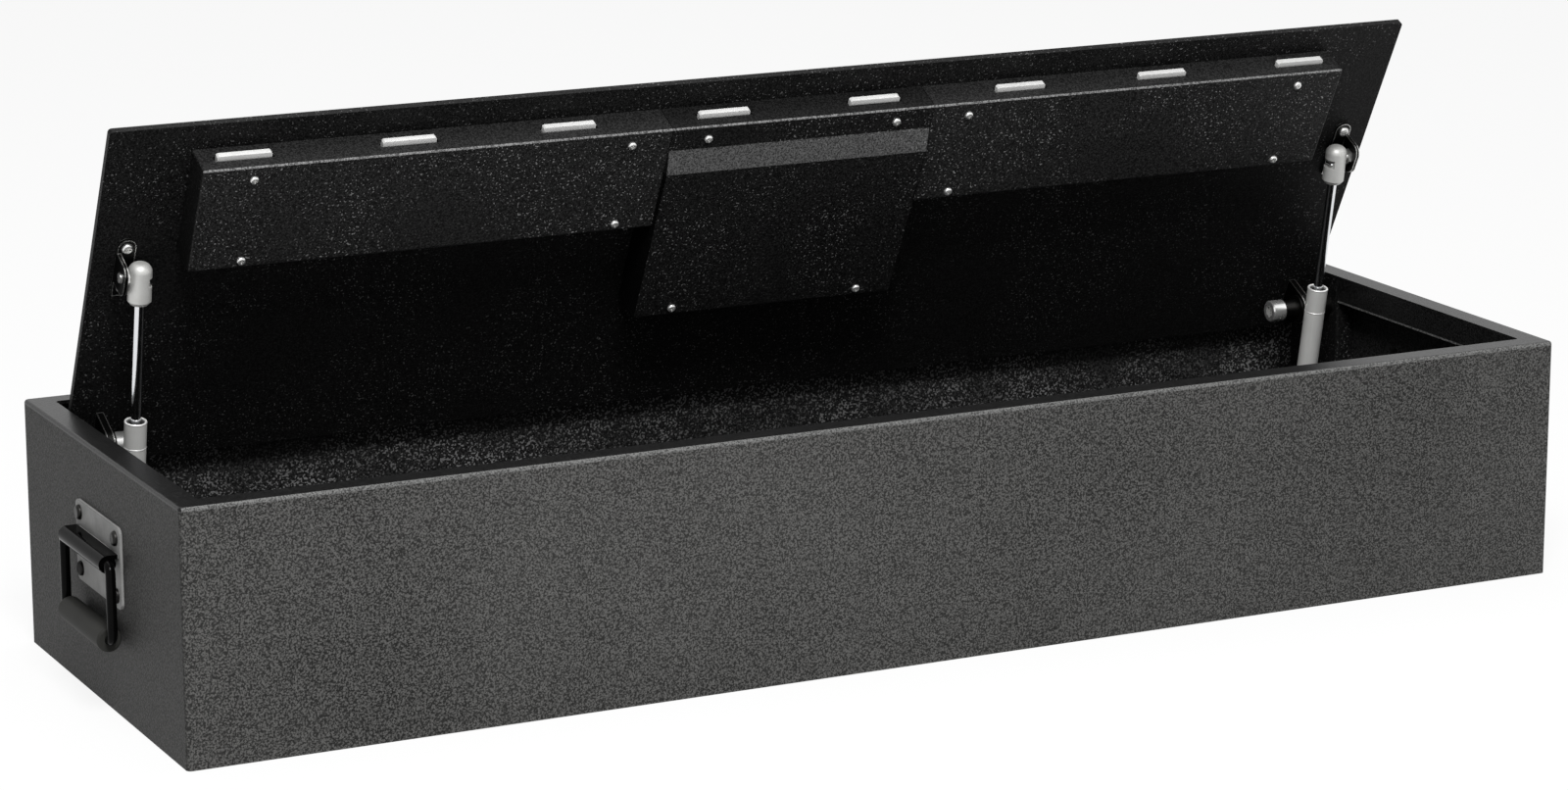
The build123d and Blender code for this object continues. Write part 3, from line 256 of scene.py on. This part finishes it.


# %% [markdown]
# ## Textures and places
#
# On top of that sits what our finishes have in common. Noise and rounded cells make the grain of a coat: a
# noise of scale 500 has grains of about 2 mm. Two masks go by place: inside a box, or beyond a plane. And a
# rounded normal, set against the plain one, finds the edges, where a finish is worn and where a painted
# highlight or painted shade runs along them. The relief goes in as a height, and its depth is a real one
# too.


# %% The class of our finishes
class Finish(ShaderTree):
    """A material with grain, wear, painted light and masks."""

    def noise(self, scale, detail=2.0, roughness=0.5, stretch=(1.0, 1.0, 1.0), shift=(0.0, 0.0, 0.0)):
        """Cloudy noise between 0 and 1; scale is in grains per metre."""
        moved = self.node("ShaderNodeMapping", None, {
            "Vector": self.place, "Scale": stretch, "Location": shift})
        made = self.node("ShaderNodeTexNoise", None, {
            "Vector": moved.outputs[0], "Scale": scale, "Detail": detail, "Roughness": roughness})
        return Wire(made.outputs["Fac"])

    def pebbles(self, scale, smooth=0.6):
        """Rounded cells, as in a crinkled coat; 0 in the middle of a cell."""
        made = self.node("ShaderNodeTexVoronoi", {"feature": "SMOOTH_F1"}, {
            "Vector": self.place, "Scale": scale, "Smoothness": smooth})
        return Wire(made.outputs["Distance"])

    def along(self, direction):
        """How far a point lies along a direction, in metres from the origin."""
        dot = self.node("ShaderNodeVectorMath", {"operation": "DOT_PRODUCT"}, {0: self.place, 1: direction})
        return Wire(dot.outputs["Value"])

    def within(self, low, high):
        """1 inside the box between two corners in metres, 0 outside."""
        inside = 1.0
        for direction, near, far in zip((LENGTHWISE, DEPTHWISE, UPWARD), low, high):
            distance = self.along(direction)
            inside = inside * distance.above(near) * distance.below(far)
        return inside

    def rubbed(self, radius=0.001):
        """How alike the plain normal and a rounded one are: 1 on flats, less on outer edges."""
        rounded = self.node("ShaderNodeBevel", {"samples": 4}, {"Radius": radius})
        plain = self.node("ShaderNodeNewGeometry")
        alike = self.node("ShaderNodeVectorMath", {"operation": "DOT_PRODUCT"}, {
            0: rounded.outputs[0], 1: plain.outputs["Normal"]})
        return Wire(alike.outputs["Value"])

    def bump(self, height, strength, distance):
        """Surface relief from a height between 0 and 1; distance is in metres."""
        made = self.node("ShaderNodeBump", None, {
            "Height": height, "Strength": strength, "Distance": distance})
        return made.outputs["Normal"]


print("a finish offers:", [name for name in vars(Finish) if not name.startswith("_")])

# %% [markdown]
# ## Textured powder coat
#
# The box is coated with a grey powder that flows into small pebbles as it is baked. From a step away it
# reads as a fine speckle, light where a pebble faces the lamp and dark in the pits. We lay two sizes of
# pebble over each other, use them for the relief and for a little of the colour, and let a wide, faint
# cloud keep large panels from looking printed. In the colour, the peaks are painted light and the pits
# painted shade, over the grain.
#
# Over that plain coat go layers, each a small function that is handed the coat and the colour
# so far, and gives back the new colour. So a coat is a list of layers, and each is written
# once.


# %% Powder coat
COAT_GRAIN = 760.0
CLOUD_SHARE = 0.15


def grey(level):
    """A neutral grey."""
    return (level, level, level)


def powder_coat(name, pit, peak, relief, roughness, specular, layers=()):
    """Pebbled coat with colours from pits to peaks, a relief in metres, and layers over it."""
    coat = Finish(name)
    coat.fine = coat.noise(COAT_GRAIN, detail=2.0, roughness=0.6)
    pebble = coat.pebbles(COAT_GRAIN * 0.7)
    # The colour follows the pebbles: painted light on the peaks, painted shade in the pits, over the grain.
    coat.speck = coat.ramp(coat.fine * 0.7 + (1.0 - pebble) * 0.3, (0.44, 0.0), (0.60, 1.0))
    cloud = coat.ramp(coat.noise(5.0, detail=3.0, shift=(3.1, 1.7, 0.4)), (0.3, 0.0), (0.7, 1.0))
    colour = coat.mix(coat.speck * (1.0 - CLOUD_SHARE) + cloud * CLOUD_SHARE, pit, peak)
    for layer in layers:
        colour = layer(coat, colour)
    height = coat.fine * 0.9 - pebble * 0.6 + 0.3
    return coat.done(
        Base_Color=colour,
        Roughness=roughness + coat.fine * 0.12,
        Specular_IOR_Level=specular,
        Normal=coat.bump(height, 1.0, relief),
    )


print("pebbles, mm:", round(1000 / COAT_GRAIN, 2))

# %% [markdown]
# ## Layers of the coat
#
# Inside the box the coat is painted nearly black, as painted shade, and the lid's coat is nearly black too.
# Lid, covers and the box's long inner walls carry a coarser salt of light flecks in patches: painted
# glints, as of pebbles that catch the lamp. Along a sheet's outer bends a pale line is painted, as a
# painted highlight. Some faces, such as the end walls and the covers' cheeks, are only darker: painted
# shade. The masks that say where a layer holds go by the place on the piece itself, so they stay put when
# the lid moves.

# %% Flecks, bends and darker faces
# Grain, patches and shift of the painted glints.
FLECK_GRAIN = COAT_GRAIN * 0.85
FLECK_PATCHES = 11.0
FLECK_SHIFT = (5.3, 2.9, 7.7)


def flecks(coat, share):
    """Small spots of painted glint that cover about that share of the surface, thinner in some patches."""
    spots = coat.noise(FLECK_GRAIN, detail=0.0, shift=FLECK_SHIFT)
    patches = coat.ramp(coat.noise(FLECK_PATCHES, detail=2.0, shift=FLECK_SHIFT), (0.37, 0.12), (0.6, 1.0))
    start = 0.78 - share
    return coat.ramp(spots, (start, 0.0), (start + 0.07, 1.0)) * patches


def salt(colour, share, bare=None):
    """Layer of light flecks, painted glints; bare marks where there are none."""
    def layer(coat, under):
        spots = flecks(coat, share)
        return coat.mix(spots * (1.0 - bare(coat)) if bare else spots, under, colour)
    return layer


def pale(colour, mask):
    """Layer of painted light, speckled, where the mask holds."""
    def layer(coat, under):
        return coat.mix(mask(coat) * coat.ramp(coat.fine, (0.38, 0.2), (0.60, 1.0)), under, colour)
    return layer


def dark_ends(colour, share, node, skin):
    """Layer of painted shade on the end faces, at right and left, of a piece or of a pair that is alike on
    both sides.
    """
    right = reach(node, LENGTHWISE)[1] - skin
    left = -right

    def layer(coat, under):
        distance = coat.along(LENGTHWISE)
        return coat.mix((distance.above(right) + distance.below(left)) * share, under, colour)
    return layer


print("flecks, mm:", round(1000 / FLECK_GRAIN, 2))

# %% [markdown]
# ## Coats of the box
#
# One piece of folded sheet is both the outside and the inside of the box. So a mask that starts just under
# the outer skin splits the two: inside, the coat is painted nearly black as painted shade, and the light
# flecks, painted glints, keep to the long walls, since the inner end walls lie in shade. The floor plate
# takes the same dark coat, again as painted shade. The rim round the mouth is painted nearly black too, as
# painted shade, with a pale line painted as a highlight along its front bend, and another at the lower edge
# of the deep return at each end.

# %% Box, rim and floor
WALL_SKIN = 0.0015
FLOOR_LEVEL = 0.002
LONG_WALL_END = half_length - 0.010
# Where the rim's painted highlight lines run.
BEND_LINE_START = 0.002 - half_length
BEND_LINE_END = half_length - 0.001
RETURN_EDGE = 0.0017


def inside_of_box(coat):
    """1 on the inner faces of the walls."""
    x, y = half_length - WALL_SKIN, half_depth - WALL_SKIN
    return coat.within((-x, -y, FLOOR_LEVEL), (x, y, rim_top))


def long_walls(coat):
    """1 away from the two end walls."""
    distance = coat.along(LENGTHWISE)
    return distance.above(-LONG_WALL_END) * distance.below(LONG_WALL_END)


def black_inside(pit, peak, fleck, share):
    """Layer of painted shade on the inner faces: a blacker coat, with painted glints only on the long
    walls.
    """
    def layer(coat, under):
        spots = flecks(coat, share) * long_walls(coat)
        inside = coat.mix(spots, coat.mix(coat.speck, pit, peak), fleck)
        return coat.mix(inside_of_box(coat), under, inside)
    return layer


def sheet_edges(coat):
    """1 along the outer edges of a sheet, where a pale line is painted as a highlight."""
    return coat.ramp(coat.rubbed(0.0012), (0.80, 1.0), (0.985, 0.0))


def rim_edges(coat):
    """1 on the rim's front bend and on the lower edge of its deep return, where pale lines are painted as
    highlights.
    """
    distance = coat.along(LENGTHWISE)
    front = coat.along(DEPTHWISE).below(WALL_SKIN - half_depth)
    front = front * distance.above(BEND_LINE_START) * distance.below(BEND_LINE_END)
    return front + coat.along(UPWARD).below(return_bottom + RETURN_EDGE)


grey_coat = powder_coat(
    "grey_powder_coat", (0.012, 0.012, 0.0115), (0.104, 0.103, 0.100),
    relief=0.00032, roughness=0.50, specular=0.09, layers=[
        # Painted shade inside the box, with painted glints on its long walls.
        black_inside(grey(0.005), grey(0.026), fleck=grey(0.18), share=0.19),
        # A painted highlight along the sheet's outer bends.
        pale((0.15, 0.15, 0.147), sheet_edges),
        # Painted shade on the end walls.
        dark_ends((0.018, 0.018, 0.0175), 0.5, nodes["shell_body"], skin=0.0008)])
# The rim's near-black coat is painted shade, and its pale lines are painted highlights.
rim_coat = powder_coat(
    "rim_powder_coat", grey(0.003), grey(0.016),
    relief=0.00012, roughness=0.28, specular=0.18, layers=[pale((0.17, 0.17, 0.167), rim_edges)])
# The floor plate's dark coat is painted shade, and its flecks are painted glints.
floor_coat = powder_coat(
    "floor_powder_coat", grey(0.005), grey(0.026),
    relief=0.00025, roughness=0.50, specular=0.1, layers=[salt(grey(0.18), 0.19)])
print("coats of the box:", [coat.name for coat in (grey_coat, rim_coat, floor_coat)])

# %% [markdown]
# ## Coats of the lid and its covers
#
# The covers are bent from thin sheet. Their front flange stands across the lid and has no flecks, and along
# the bend below it a pale line is painted, as a painted highlight. The middle cover is deeper. A sloped
# step leads down to its darker face, and that slope faces up, so it is painted much paler than the rest, as
# painted light. All this is told from two distances: how far a point lies behind the covers' front, and how
# far above their face. The covers' end faces, their cheeks, are painted darker, as painted shade.

# %% Lid and covers
cover_front = reach(nodes["lock_cover_right"], LID_REARWARD)[0]
cover_face = reach(nodes["lock_cover_right"], LID_OUTWARD)[0]
FLANGE_SKIN = 0.0009
BEND_SIZE = 0.0014
STEP_START = 0.0219
STEP_END = 0.0429
# Share of painted light on the upward slope of the middle cover's step.
STEP_PALE = 0.40
CHEEK_SKIN = 0.0004


def front_flange(coat):
    """1 on the covers' front flange."""
    return coat.along(LID_REARWARD).below(cover_front + FLANGE_SKIN)


def front_bend(coat):
    """1 on the covers' front bend, where a pale line is painted as a highlight."""
    near_front = coat.along(LID_REARWARD).below(cover_front + BEND_SIZE)
    return near_front * coat.along(LID_OUTWARD).below(cover_face + BEND_SIZE)


def bend_and_step(coat):
    """The front bend, and in part the sloped step of the middle cover: where painted highlight and painted
    light go.
    """
    behind = coat.along(LID_REARWARD)
    step = behind.above(cover_front + STEP_START) * behind.below(cover_front + STEP_END)
    return front_bend(coat) + step * STEP_PALE


# The lid's light flecks are painted glints.
black_coat = powder_coat(
    "black_powder_coat", grey(0.002), grey(0.012),
    relief=0.00016, roughness=0.45, specular=0.08, layers=[salt(grey(0.12), 0.07)])
# The covers' flecks are painted glints, the pale bend a painted highlight, the dark cheeks painted shade.
cover_coat = powder_coat(
    "cover_powder_coat", grey(0.005), grey(0.027),
    relief=0.00020, roughness=0.42, specular=0.07, layers=[
        salt(grey(0.24), 0.08, bare=front_flange),
        pale(grey(0.24), front_bend),
        dark_ends(grey(0.002), 0.8, nodes["lock_cover_right"], CHEEK_SKIN)])
# The middle cover's flecks are painted glints, its pale bend and step painted highlight and painted light,
# its dark cheeks painted shade.
middle_coat = powder_coat(
    "middle_cover_powder_coat", grey(0.003), grey(0.016),
    relief=0.00020, roughness=0.42, specular=0.055, layers=[
        salt(grey(0.16), 0.08, bare=front_flange),
        pale(grey(0.24), bend_and_step),
        dark_ends(grey(0.001), 0.9, nodes["lock_cover_middle"], CHEEK_SKIN)])
print("coats of the lid:", [coat.name for coat in (black_coat, cover_coat, middle_coat)])

# %% [markdown]
# ## Bare and plated metal
#
# The tabs, the screws and the ball studs are zinc plated: pale, a little blotchy, with the
# fine lines of the strip that they were cut from. The strut tubes are satin, the rods are
# polished. One function serves them all, because what differs is only how dark, how rough and
# how streaky the metal is. A dull, whitish skin, as on fresh zinc, scatters light like paint,
# so there the shader is less than fully metallic.


# %% How a metal is made
STREAK_DEPTH = 0.00002


def metal(name, dark, light, roughness, streak, along=(1.0, 1.0, 1.0), metallic=1.0,
          edge=None, edge_width=0.0008):
    """Metal between two colours, streaked along one direction and lighter at its edges, partly wear and
    partly painted highlight; edge is the colour of a painted highlight along the edges.
    """
    steel = Finish(name)
    blotch = steel.noise(60.0, detail=4.0, roughness=0.6)
    lines = steel.noise(900.0, detail=2.0, stretch=along)
    edge_wear_and_painted_light = steel.ramp(steel.rubbed(edge_width), (0.84, 1.0), (0.985, 0.0))
    level = blotch * 0.5 + lines * streak + edge_wear_and_painted_light * 0.25
    colour = steel.mix(steel.ramp(level, (0.2, 0.0), (0.9, 1.0)), dark, light)
    if edge:
        colour = steel.mix(edge_wear_and_painted_light, colour, edge)
    return steel.done(
        Base_Color=colour,
        Metallic=metallic,
        Roughness=roughness + blotch * 0.12 - edge_wear_and_painted_light * 0.05,
        Normal=steel.bump(lines, 0.5, STREAK_DEPTH),
    )


print("streaks, mm deep:", round(STREAK_DEPTH * 1000, 3))

# %% [markdown]
# ## The metals of the safe
#
# A noise with a small scale along one axis comes out drawn into lines along it. The locking bar and the
# face of the lock are rolled strip, with lines that run lengthwise. The struts stand across that, and the
# lines of their tubes and rods run up and back. The upper strut brackets and the hinge's ears are
# blackened, with a bright painted highlight along their edges.

# %% Zinc, steel and nickel
BAR_LINES = (0.02, 1.0, 1.0)
FACE_LINES = (0.03, 1.0, 1.0)
TUBE_LINES = (1.0, 0.03, 0.03)
ROD_LINES = (1.0, 0.02, 0.02)
zinc = metal("zinc_plate", (0.62, 0.62, 0.61), (0.88, 0.88, 0.87), 0.30, 0.4, along=BAR_LINES)
white_zinc = metal("white_zinc", (0.78, 0.78, 0.77), (0.98, 0.98, 0.97), 0.36, 0.4,
                   along=BAR_LINES, metallic=0.4)
screw_zinc = metal("screw_zinc", (0.80, 0.80, 0.79), (0.98, 0.98, 0.97), 0.22, 0.2, metallic=0.85)
satin_tube = metal("satin_tube", (0.72, 0.72, 0.70), (0.90, 0.90, 0.88), 0.36, 0.3,
                   along=TUBE_LINES, metallic=0.35)
rod_chrome = metal("rod_chrome", (0.74, 0.75, 0.77), (0.88, 0.88, 0.89), 0.07, 0.1, along=ROD_LINES)
cast_socket = metal("cast_socket", (0.50, 0.50, 0.485), (0.68, 0.68, 0.66), 0.42, 0.2, metallic=0.4)
dark_steel = metal("blackened_steel", (0.012, 0.012, 0.012), (0.055, 0.053, 0.05), 0.35, 0.3)
# Its bright edges are painted highlights.
edged_steel = metal("blackened_steel_bright_edges", (0.010, 0.010, 0.010), (0.040, 0.040, 0.038), 0.30, 0.2,
                    edge=(0.90, 0.90, 0.88), edge_width=0.0016)
nickel = metal("satin_nickel", (0.40, 0.39, 0.37), (0.62, 0.61, 0.58), 0.28, 0.35, along=FACE_LINES)
print("metals:", [made.name for made in (zinc, white_zinc, screw_zinc, satin_tube, rod_chrome,
                                         cast_socket, dark_steel, edged_steel, nickel)])

# %% [markdown]
# ## Paint and plastic
#
# The handle's wire and knuckle have a smooth black paint that throws sharp highlights, its plate a duller
# grey one whose edges are painted dark, as painted shade. Plate and knuckle are one bent piece, and what
# stands out from the end wall by more than the plate is the knuckle. The grip is moulded plastic with a
# fine grain, and the seals of the struts are matt black rubber.


# %% Paint and plastic
KNUCKLE_STARTS = half_length + 0.003


def paint(name, dark, light, roughness, relief, grain=300.0, specular=0.5, proud=None):
    """Smooth paint with slight orange peel; proud is the colour of a handle's knuckle."""
    film = Finish(name)
    peel = film.noise(grain, detail=2.0)
    dust = film.noise(40.0, detail=4.0, roughness=0.65)
    # Toward the edges each paint runs to its second colour: wear on most, painted shade on the handle
    # plate.
    edge_wear_and_painted_light = film.ramp(film.rubbed(0.0007), (0.78, 1.0), (0.99, 0.0))
    level = film.ramp(dust * 0.6 + edge_wear_and_painted_light * 0.4, (0.15, 0.0), (0.85, 1.0))
    colour = film.mix(level, dark, light)
    rough = roughness + dust * 0.12
    if proud:
        across = film.along(LENGTHWISE)
        knuckle = across.above(KNUCKLE_STARTS) + across.below(-KNUCKLE_STARTS)
        colour = film.mix(knuckle, colour, proud)
        rough = rough - knuckle * 0.3
    return film.done(
        Base_Color=colour,
        Roughness=rough,
        Specular_IOR_Level=specular,
        Normal=film.bump(peel, 0.4, relief),
    )


gloss_black = paint("gloss_black_paint", grey(0.001), grey(0.004), 0.06, 0.00001, specular=0.05)
# The plate's second, dark colour gives its dirt and its dark edges, which are painted shade.
plate_grey = paint("plate_grey_paint", (0.30, 0.30, 0.295), grey(0.03), 0.34, 0.00005,
                   proud=grey(0.001), specular=0.03)
grip_plastic = paint("grip_plastic", (0.020, 0.020, 0.0185), (0.046, 0.046, 0.043), 0.5, 0.0001,
                     grain=1400.0, specular=0.06)
seal_rubber = paint("seal_rubber", grey(0.008), grey(0.02), 0.6, 0.00005)
print("paint and plastic:", [made.name for made in (gloss_black, plate_grey, grip_plastic, seal_rubber)])

# %% [markdown]
# ## Dress the CAD pieces
#
# Each CAD piece keeps its shape and takes the finish of the real one. The table goes by
# finish, with the pieces that share it; a piece that is in none of the lists stops the
# script, so that nothing is left in bare grey.

# %% Finish of each piece
BUTTONS = [f"push_button_{n}" for n in range(1, 6)]
SIDES = ("right", "left")


def pair(*names):
    """Names of pieces that exist at both ends."""
    return [f"{name}_{side}" for name in names for side in SIDES]


finishes = [
    (grey_coat, ["shell_body"]),
    (rim_coat, ["rim_frame"]),
    (floor_coat, ["floor_plate"]),
    (black_coat, ["lid_plate", *pair("hinge_pillar")]),
    (cover_coat, pair("lock_cover")),
    (middle_coat, ["lock_cover_middle"]),
    (white_zinc, ["bolt_bar"]),
    (screw_zinc, ["cover_screws", "pivot_bolts"]),
    (zinc, ["cover_posts", "bolt_bridges", "guide_posts", "guide_clips", "pivot_nuts",
            "lower_ball_studs", "upper_ball_studs", "lower_mount_screws", "upper_mount_screws",
            "lock_case", "latch_bolt", "spindle", "drive_pinion", *pair("strut_bracket_lower")]),
    (edged_steel, pair("strut_bracket_upper", "hinge_ear")),
    (dark_steel, ["pivot_sleeves", "pivot_washers", "handle_rivets"]),
    (satin_tube, pair("strut_tube")),
    (cast_socket, pair("strut_socket_lower", "strut_socket_upper")),
    (rod_chrome, pair("strut_rod", "strut_clip")),
    (seal_rubber, pair("strut_gland")),
    (plate_grey, pair("handle_plate")),
    (gloss_black, pair("handle_bail")),
    (grip_plastic, pair("handle_grip")),
    (nickel, ["lock_face", "spindle_bush", "turn_knob", *BUTTONS]),
]
dressed = set()
for material, names in finishes:
    for name in names:
        mesh = nodes[name].data
        mesh.materials.clear()
        mesh.materials.append(material)
        dressed.add(name)
assert dressed == set(nodes), sorted(set(nodes) ^ dressed)
print("dressed:", len(dressed), "pieces with", len(finishes), "finishes")

# %% [markdown]
# ## Rings on the strut tubes
#
# Two things are too fine for the CAD model. The first is on the struts. The mouth of each tube is rolled
# over, and a groove below it is rolled in. Both catch the light as thin bright lines, so we lay a thin ring
# of bright zinc on each, as a painted highlight. Its place is read off the tube and the strut's joints, so
# it follows if they change.

# %% A helper for new pieces, and one for rings
SIDES_OF_RING = 10
STEPS_OF_RING = 48


def own_object(name, mesh, material, body):
    """Puts a new piece in the scene, with its finish and the body it rides on."""
    mesh.materials.clear()
    mesh.materials.append(material)
    piece = bpy.data.objects.new(name, mesh)
    bpy.context.scene.collection.objects.link(piece)
    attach(piece, body)
    return piece


def ring_mesh(name, centre, axis, radius, wire):
    """A round ring of thin wire about an axis."""
    side = axis.orthogonal().normalized()
    other = axis.cross(side)
    shape = bmesh.new()
    rows = []
    for step in range(STEPS_OF_RING):
        turn = 2 * math.pi * step / STEPS_OF_RING
        outward = side * math.cos(turn) + other * math.sin(turn)
        row = []
        for corner in range(SIDES_OF_RING):
            lean = 2 * math.pi * corner / SIDES_OF_RING
            point = centre + outward * (radius + wire * math.cos(lean)) + axis * (wire * math.sin(lean))
            row.append(shape.verts.new(point))
        rows.append(row)
    for row, following in zip(rows, rows[1:] + rows[:1]):
        for corner in range(SIDES_OF_RING):
            after = (corner + 1) % SIDES_OF_RING
            face = shape.faces.new((row[corner], following[corner], following[after], row[after]))
            face.smooth = True
    bmesh.ops.recalc_face_normals(shape, faces=shape.faces)
    mesh = bpy.data.meshes.new(name)
    shape.to_mesh(mesh)
    shape.free()
    return mesh


print("faces of a ring:", SIDES_OF_RING * STEPS_OF_RING)

# %% Lip and groove rings
TUBE_RADIUS = 0.009
RING_WIRE = 0.0010
RING_SUNK = 0.0008
LIP_FROM_END = 0.0004
GROOVE_FROM_END = 0.022
for side in SIDES:
    foot, head = (Vector(joints[f"strut_{side}_{end}"]["pos_m"]) for end in ("foot", "head"))
    axis = (head - foot).normalized()
    mouth = foot + axis * (reach(nodes[f"strut_tube_{side}"], axis)[1] - foot.dot(axis))
    for label, back in (("lip", LIP_FROM_END), ("groove", GROOVE_FROM_END)):
        name = f"strut_{label}_ring_{side}"
        ring = ring_mesh(name, mouth - axis * back, axis, TUBE_RADIUS - RING_SUNK, RING_WIRE)
        # The bright ring is a painted highlight on the tube's lip and groove.
        own_object(name, ring, white_zinc, f"strut_tube_{side}")
        print(name, "is", round(back * 1000, 1), "mm below the mouth")

# %% [markdown]
# ## Numerals on the push buttons
#
# The second is on the lock. The five push buttons carry plain numerals, so that a code can be
# told. A text curve gives their outlines, and becomes a thin mesh that lies on the button's
# top. They read upright for someone who stands in front of the closed safe.


# %% Numerals
def numeral_mesh(text, height, depth):
    """A flat numeral as a mesh, facing +Z, with its middle at the origin."""
    curve = bpy.data.curves.new("numeral_outline", "FONT")
    curve.body = text
    curve.size = height
    curve.extrude = depth
    curve.align_x = "CENTER"
    curve.align_y = "CENTER"
    holder = bpy.data.objects.new("numeral_outline", curve)
    bpy.context.scene.collection.objects.link(holder)
    bpy.context.view_layer.update()
    mesh = bpy.data.meshes.new_from_object(holder.evaluated_get(bpy.context.evaluated_depsgraph_get()))
    bpy.data.objects.remove(holder)
    bpy.data.curves.remove(curve)
    return mesh


NUMERAL_HEIGHT = 0.0065
NUMERAL_DEPTH = 0.00008
SAME_LEVEL = 1e-5
facing = Matrix((LENGTHWISE, LID_REARWARD, LID_OUTWARD)).transposed().to_4x4()
for number, name in enumerate(BUTTONS, start=1):
    button = nodes[name]
    level = reach(button, LID_OUTWARD)[1] - SAME_LEVEL
    top = [vertex.co for vertex in button.data.vertices if vertex.co.dot(LID_OUTWARD) > level]
    centre = sum(top, Vector()) / len(top)
    numeral = numeral_mesh(str(number), NUMERAL_HEIGHT, NUMERAL_DEPTH)
    numeral.transform(Matrix.Translation(centre) @ facing)
    numeral.name = f"button_numeral_{number}"
    own_object(numeral.name, numeral, seal_rubber, f"button_{number}")
    print(numeral.name, "on", name)

# %% [markdown]
# ## Floor and backdrop
#
# The safe stands on a plain white floor that runs on as the backdrop. For the camera, and in
# mirrors and glass, part of the floor's white is its own light, so it reads as white paper
# whatever the lamps do; the rest is lit, and that part keeps the soft shadow of the safe. For
# all other rays it is plain white card.

# %% Floor
FLOOR_SIZE = 40.0
FLOOR_GLOW = 0.88
FLOOR_WHITE = (0.9, 0.9, 0.9)


def rays_that_see_the_background(tree):
    """1 for camera, mirror and glass rays, 0 for the rays that carry light."""
    path = ShaderTree.add(tree, "ShaderNodeLightPath")
    seen = Wire(path.outputs["Is Camera Ray"]) + Wire(path.outputs["Is Glossy Ray"])
    return seen + Wire(path.outputs["Is Transmission Ray"])


def white_floor():
    """Lit white card, with a share of its own light for the rays that see the background."""
    card = Finish("white_floor")
    lit = card.done(Base_Color=FLOOR_WHITE, Roughness=0.9, Specular_IOR_Level=0.0)
    glow = card.node("ShaderNodeEmission", None, {"Color": (1.0, 1.0, 1.0, 1.0), "Strength": 1.0})
    blend = card.node("ShaderNodeMixShader", None, {
        0: rays_that_see_the_background(card.tree) * FLOOR_GLOW,
        1: card.shader.outputs[0], 2: glow.outputs[0]})
    card.tree.links.new(blend.outputs[0], card.tree.nodes["Material Output"].inputs["Surface"])
    return lit


floor_mesh = bpy.data.meshes.new("floor")
half = FLOOR_SIZE / 2
corners = [(-half, -half, 0), (half, -half, 0), (half, half, 0), (-half, half, 0)]
floor_mesh.from_pydata(corners, [], [(0, 1, 2, 3)])
floor = bpy.data.objects.new("floor", floor_mesh)
bpy.context.scene.collection.objects.link(floor)
floor.location.z = cad_bounds[0][2]
floor_mesh.materials.append(white_floor())
print("floor, metres:", FLOOR_SIZE, "square, at height", round(floor.location.z, 4))

# %% [markdown]
# ## Light
#
# A dark object on white is lit softly from all round, with one large lamp above and to the
# left for a direction. The world gives the even part. The lamps are big, so their shadows
# have no edges.

# %% World and lamps
WORLD_LEVEL = 0.28


def studio_world():
    """Even grey light, seen as white by the camera and in mirrors."""
    world = bpy.data.worlds.new("studio")
    world.use_nodes = True
    bpy.context.scene.world = world
    tree = world.node_tree
    strength = rays_that_see_the_background(tree) * (1.0 - WORLD_LEVEL) + WORLD_LEVEL
    background = tree.nodes["Background"]
    background.inputs["Color"].default_value = (1.0, 1.0, 1.0, 1.0)
    tree.links.new(strength.socket, background.inputs["Strength"])


def soft_lamp(name, place, target, size, power):
    """A square lamp that looks at a point."""
    data = bpy.data.lights.new(name, "AREA")
    data.shape = "SQUARE"
    data.size = size
    data.energy = power
    lamp = bpy.data.objects.new(name, data)
    bpy.context.scene.collection.objects.link(lamp)
    lamp.location = place
    aim = Vector(target) - Vector(place)
    lamp.rotation_euler = aim.to_track_quat("-Z", "Y").to_euler()
    return lamp


studio_world()
soft_lamp("key", (-1.0, -2.4, 3.2), (-0.2, 0.0, 0.1), 1.2, 150.0)
soft_lamp("fill", (2.6, -1.6, 1.8), (0.3, 0.0, 0.2), 1.6, 4.0)
soft_lamp("top", (0.0, 0.6, 3.0), (0.0, 0.0, 0.2), 2.2, 30.0)
bpy.context.scene.view_settings.view_transform = "Standard"
print("lamps, watts:", {lamp.name: lamp.energy for lamp in bpy.data.lights})
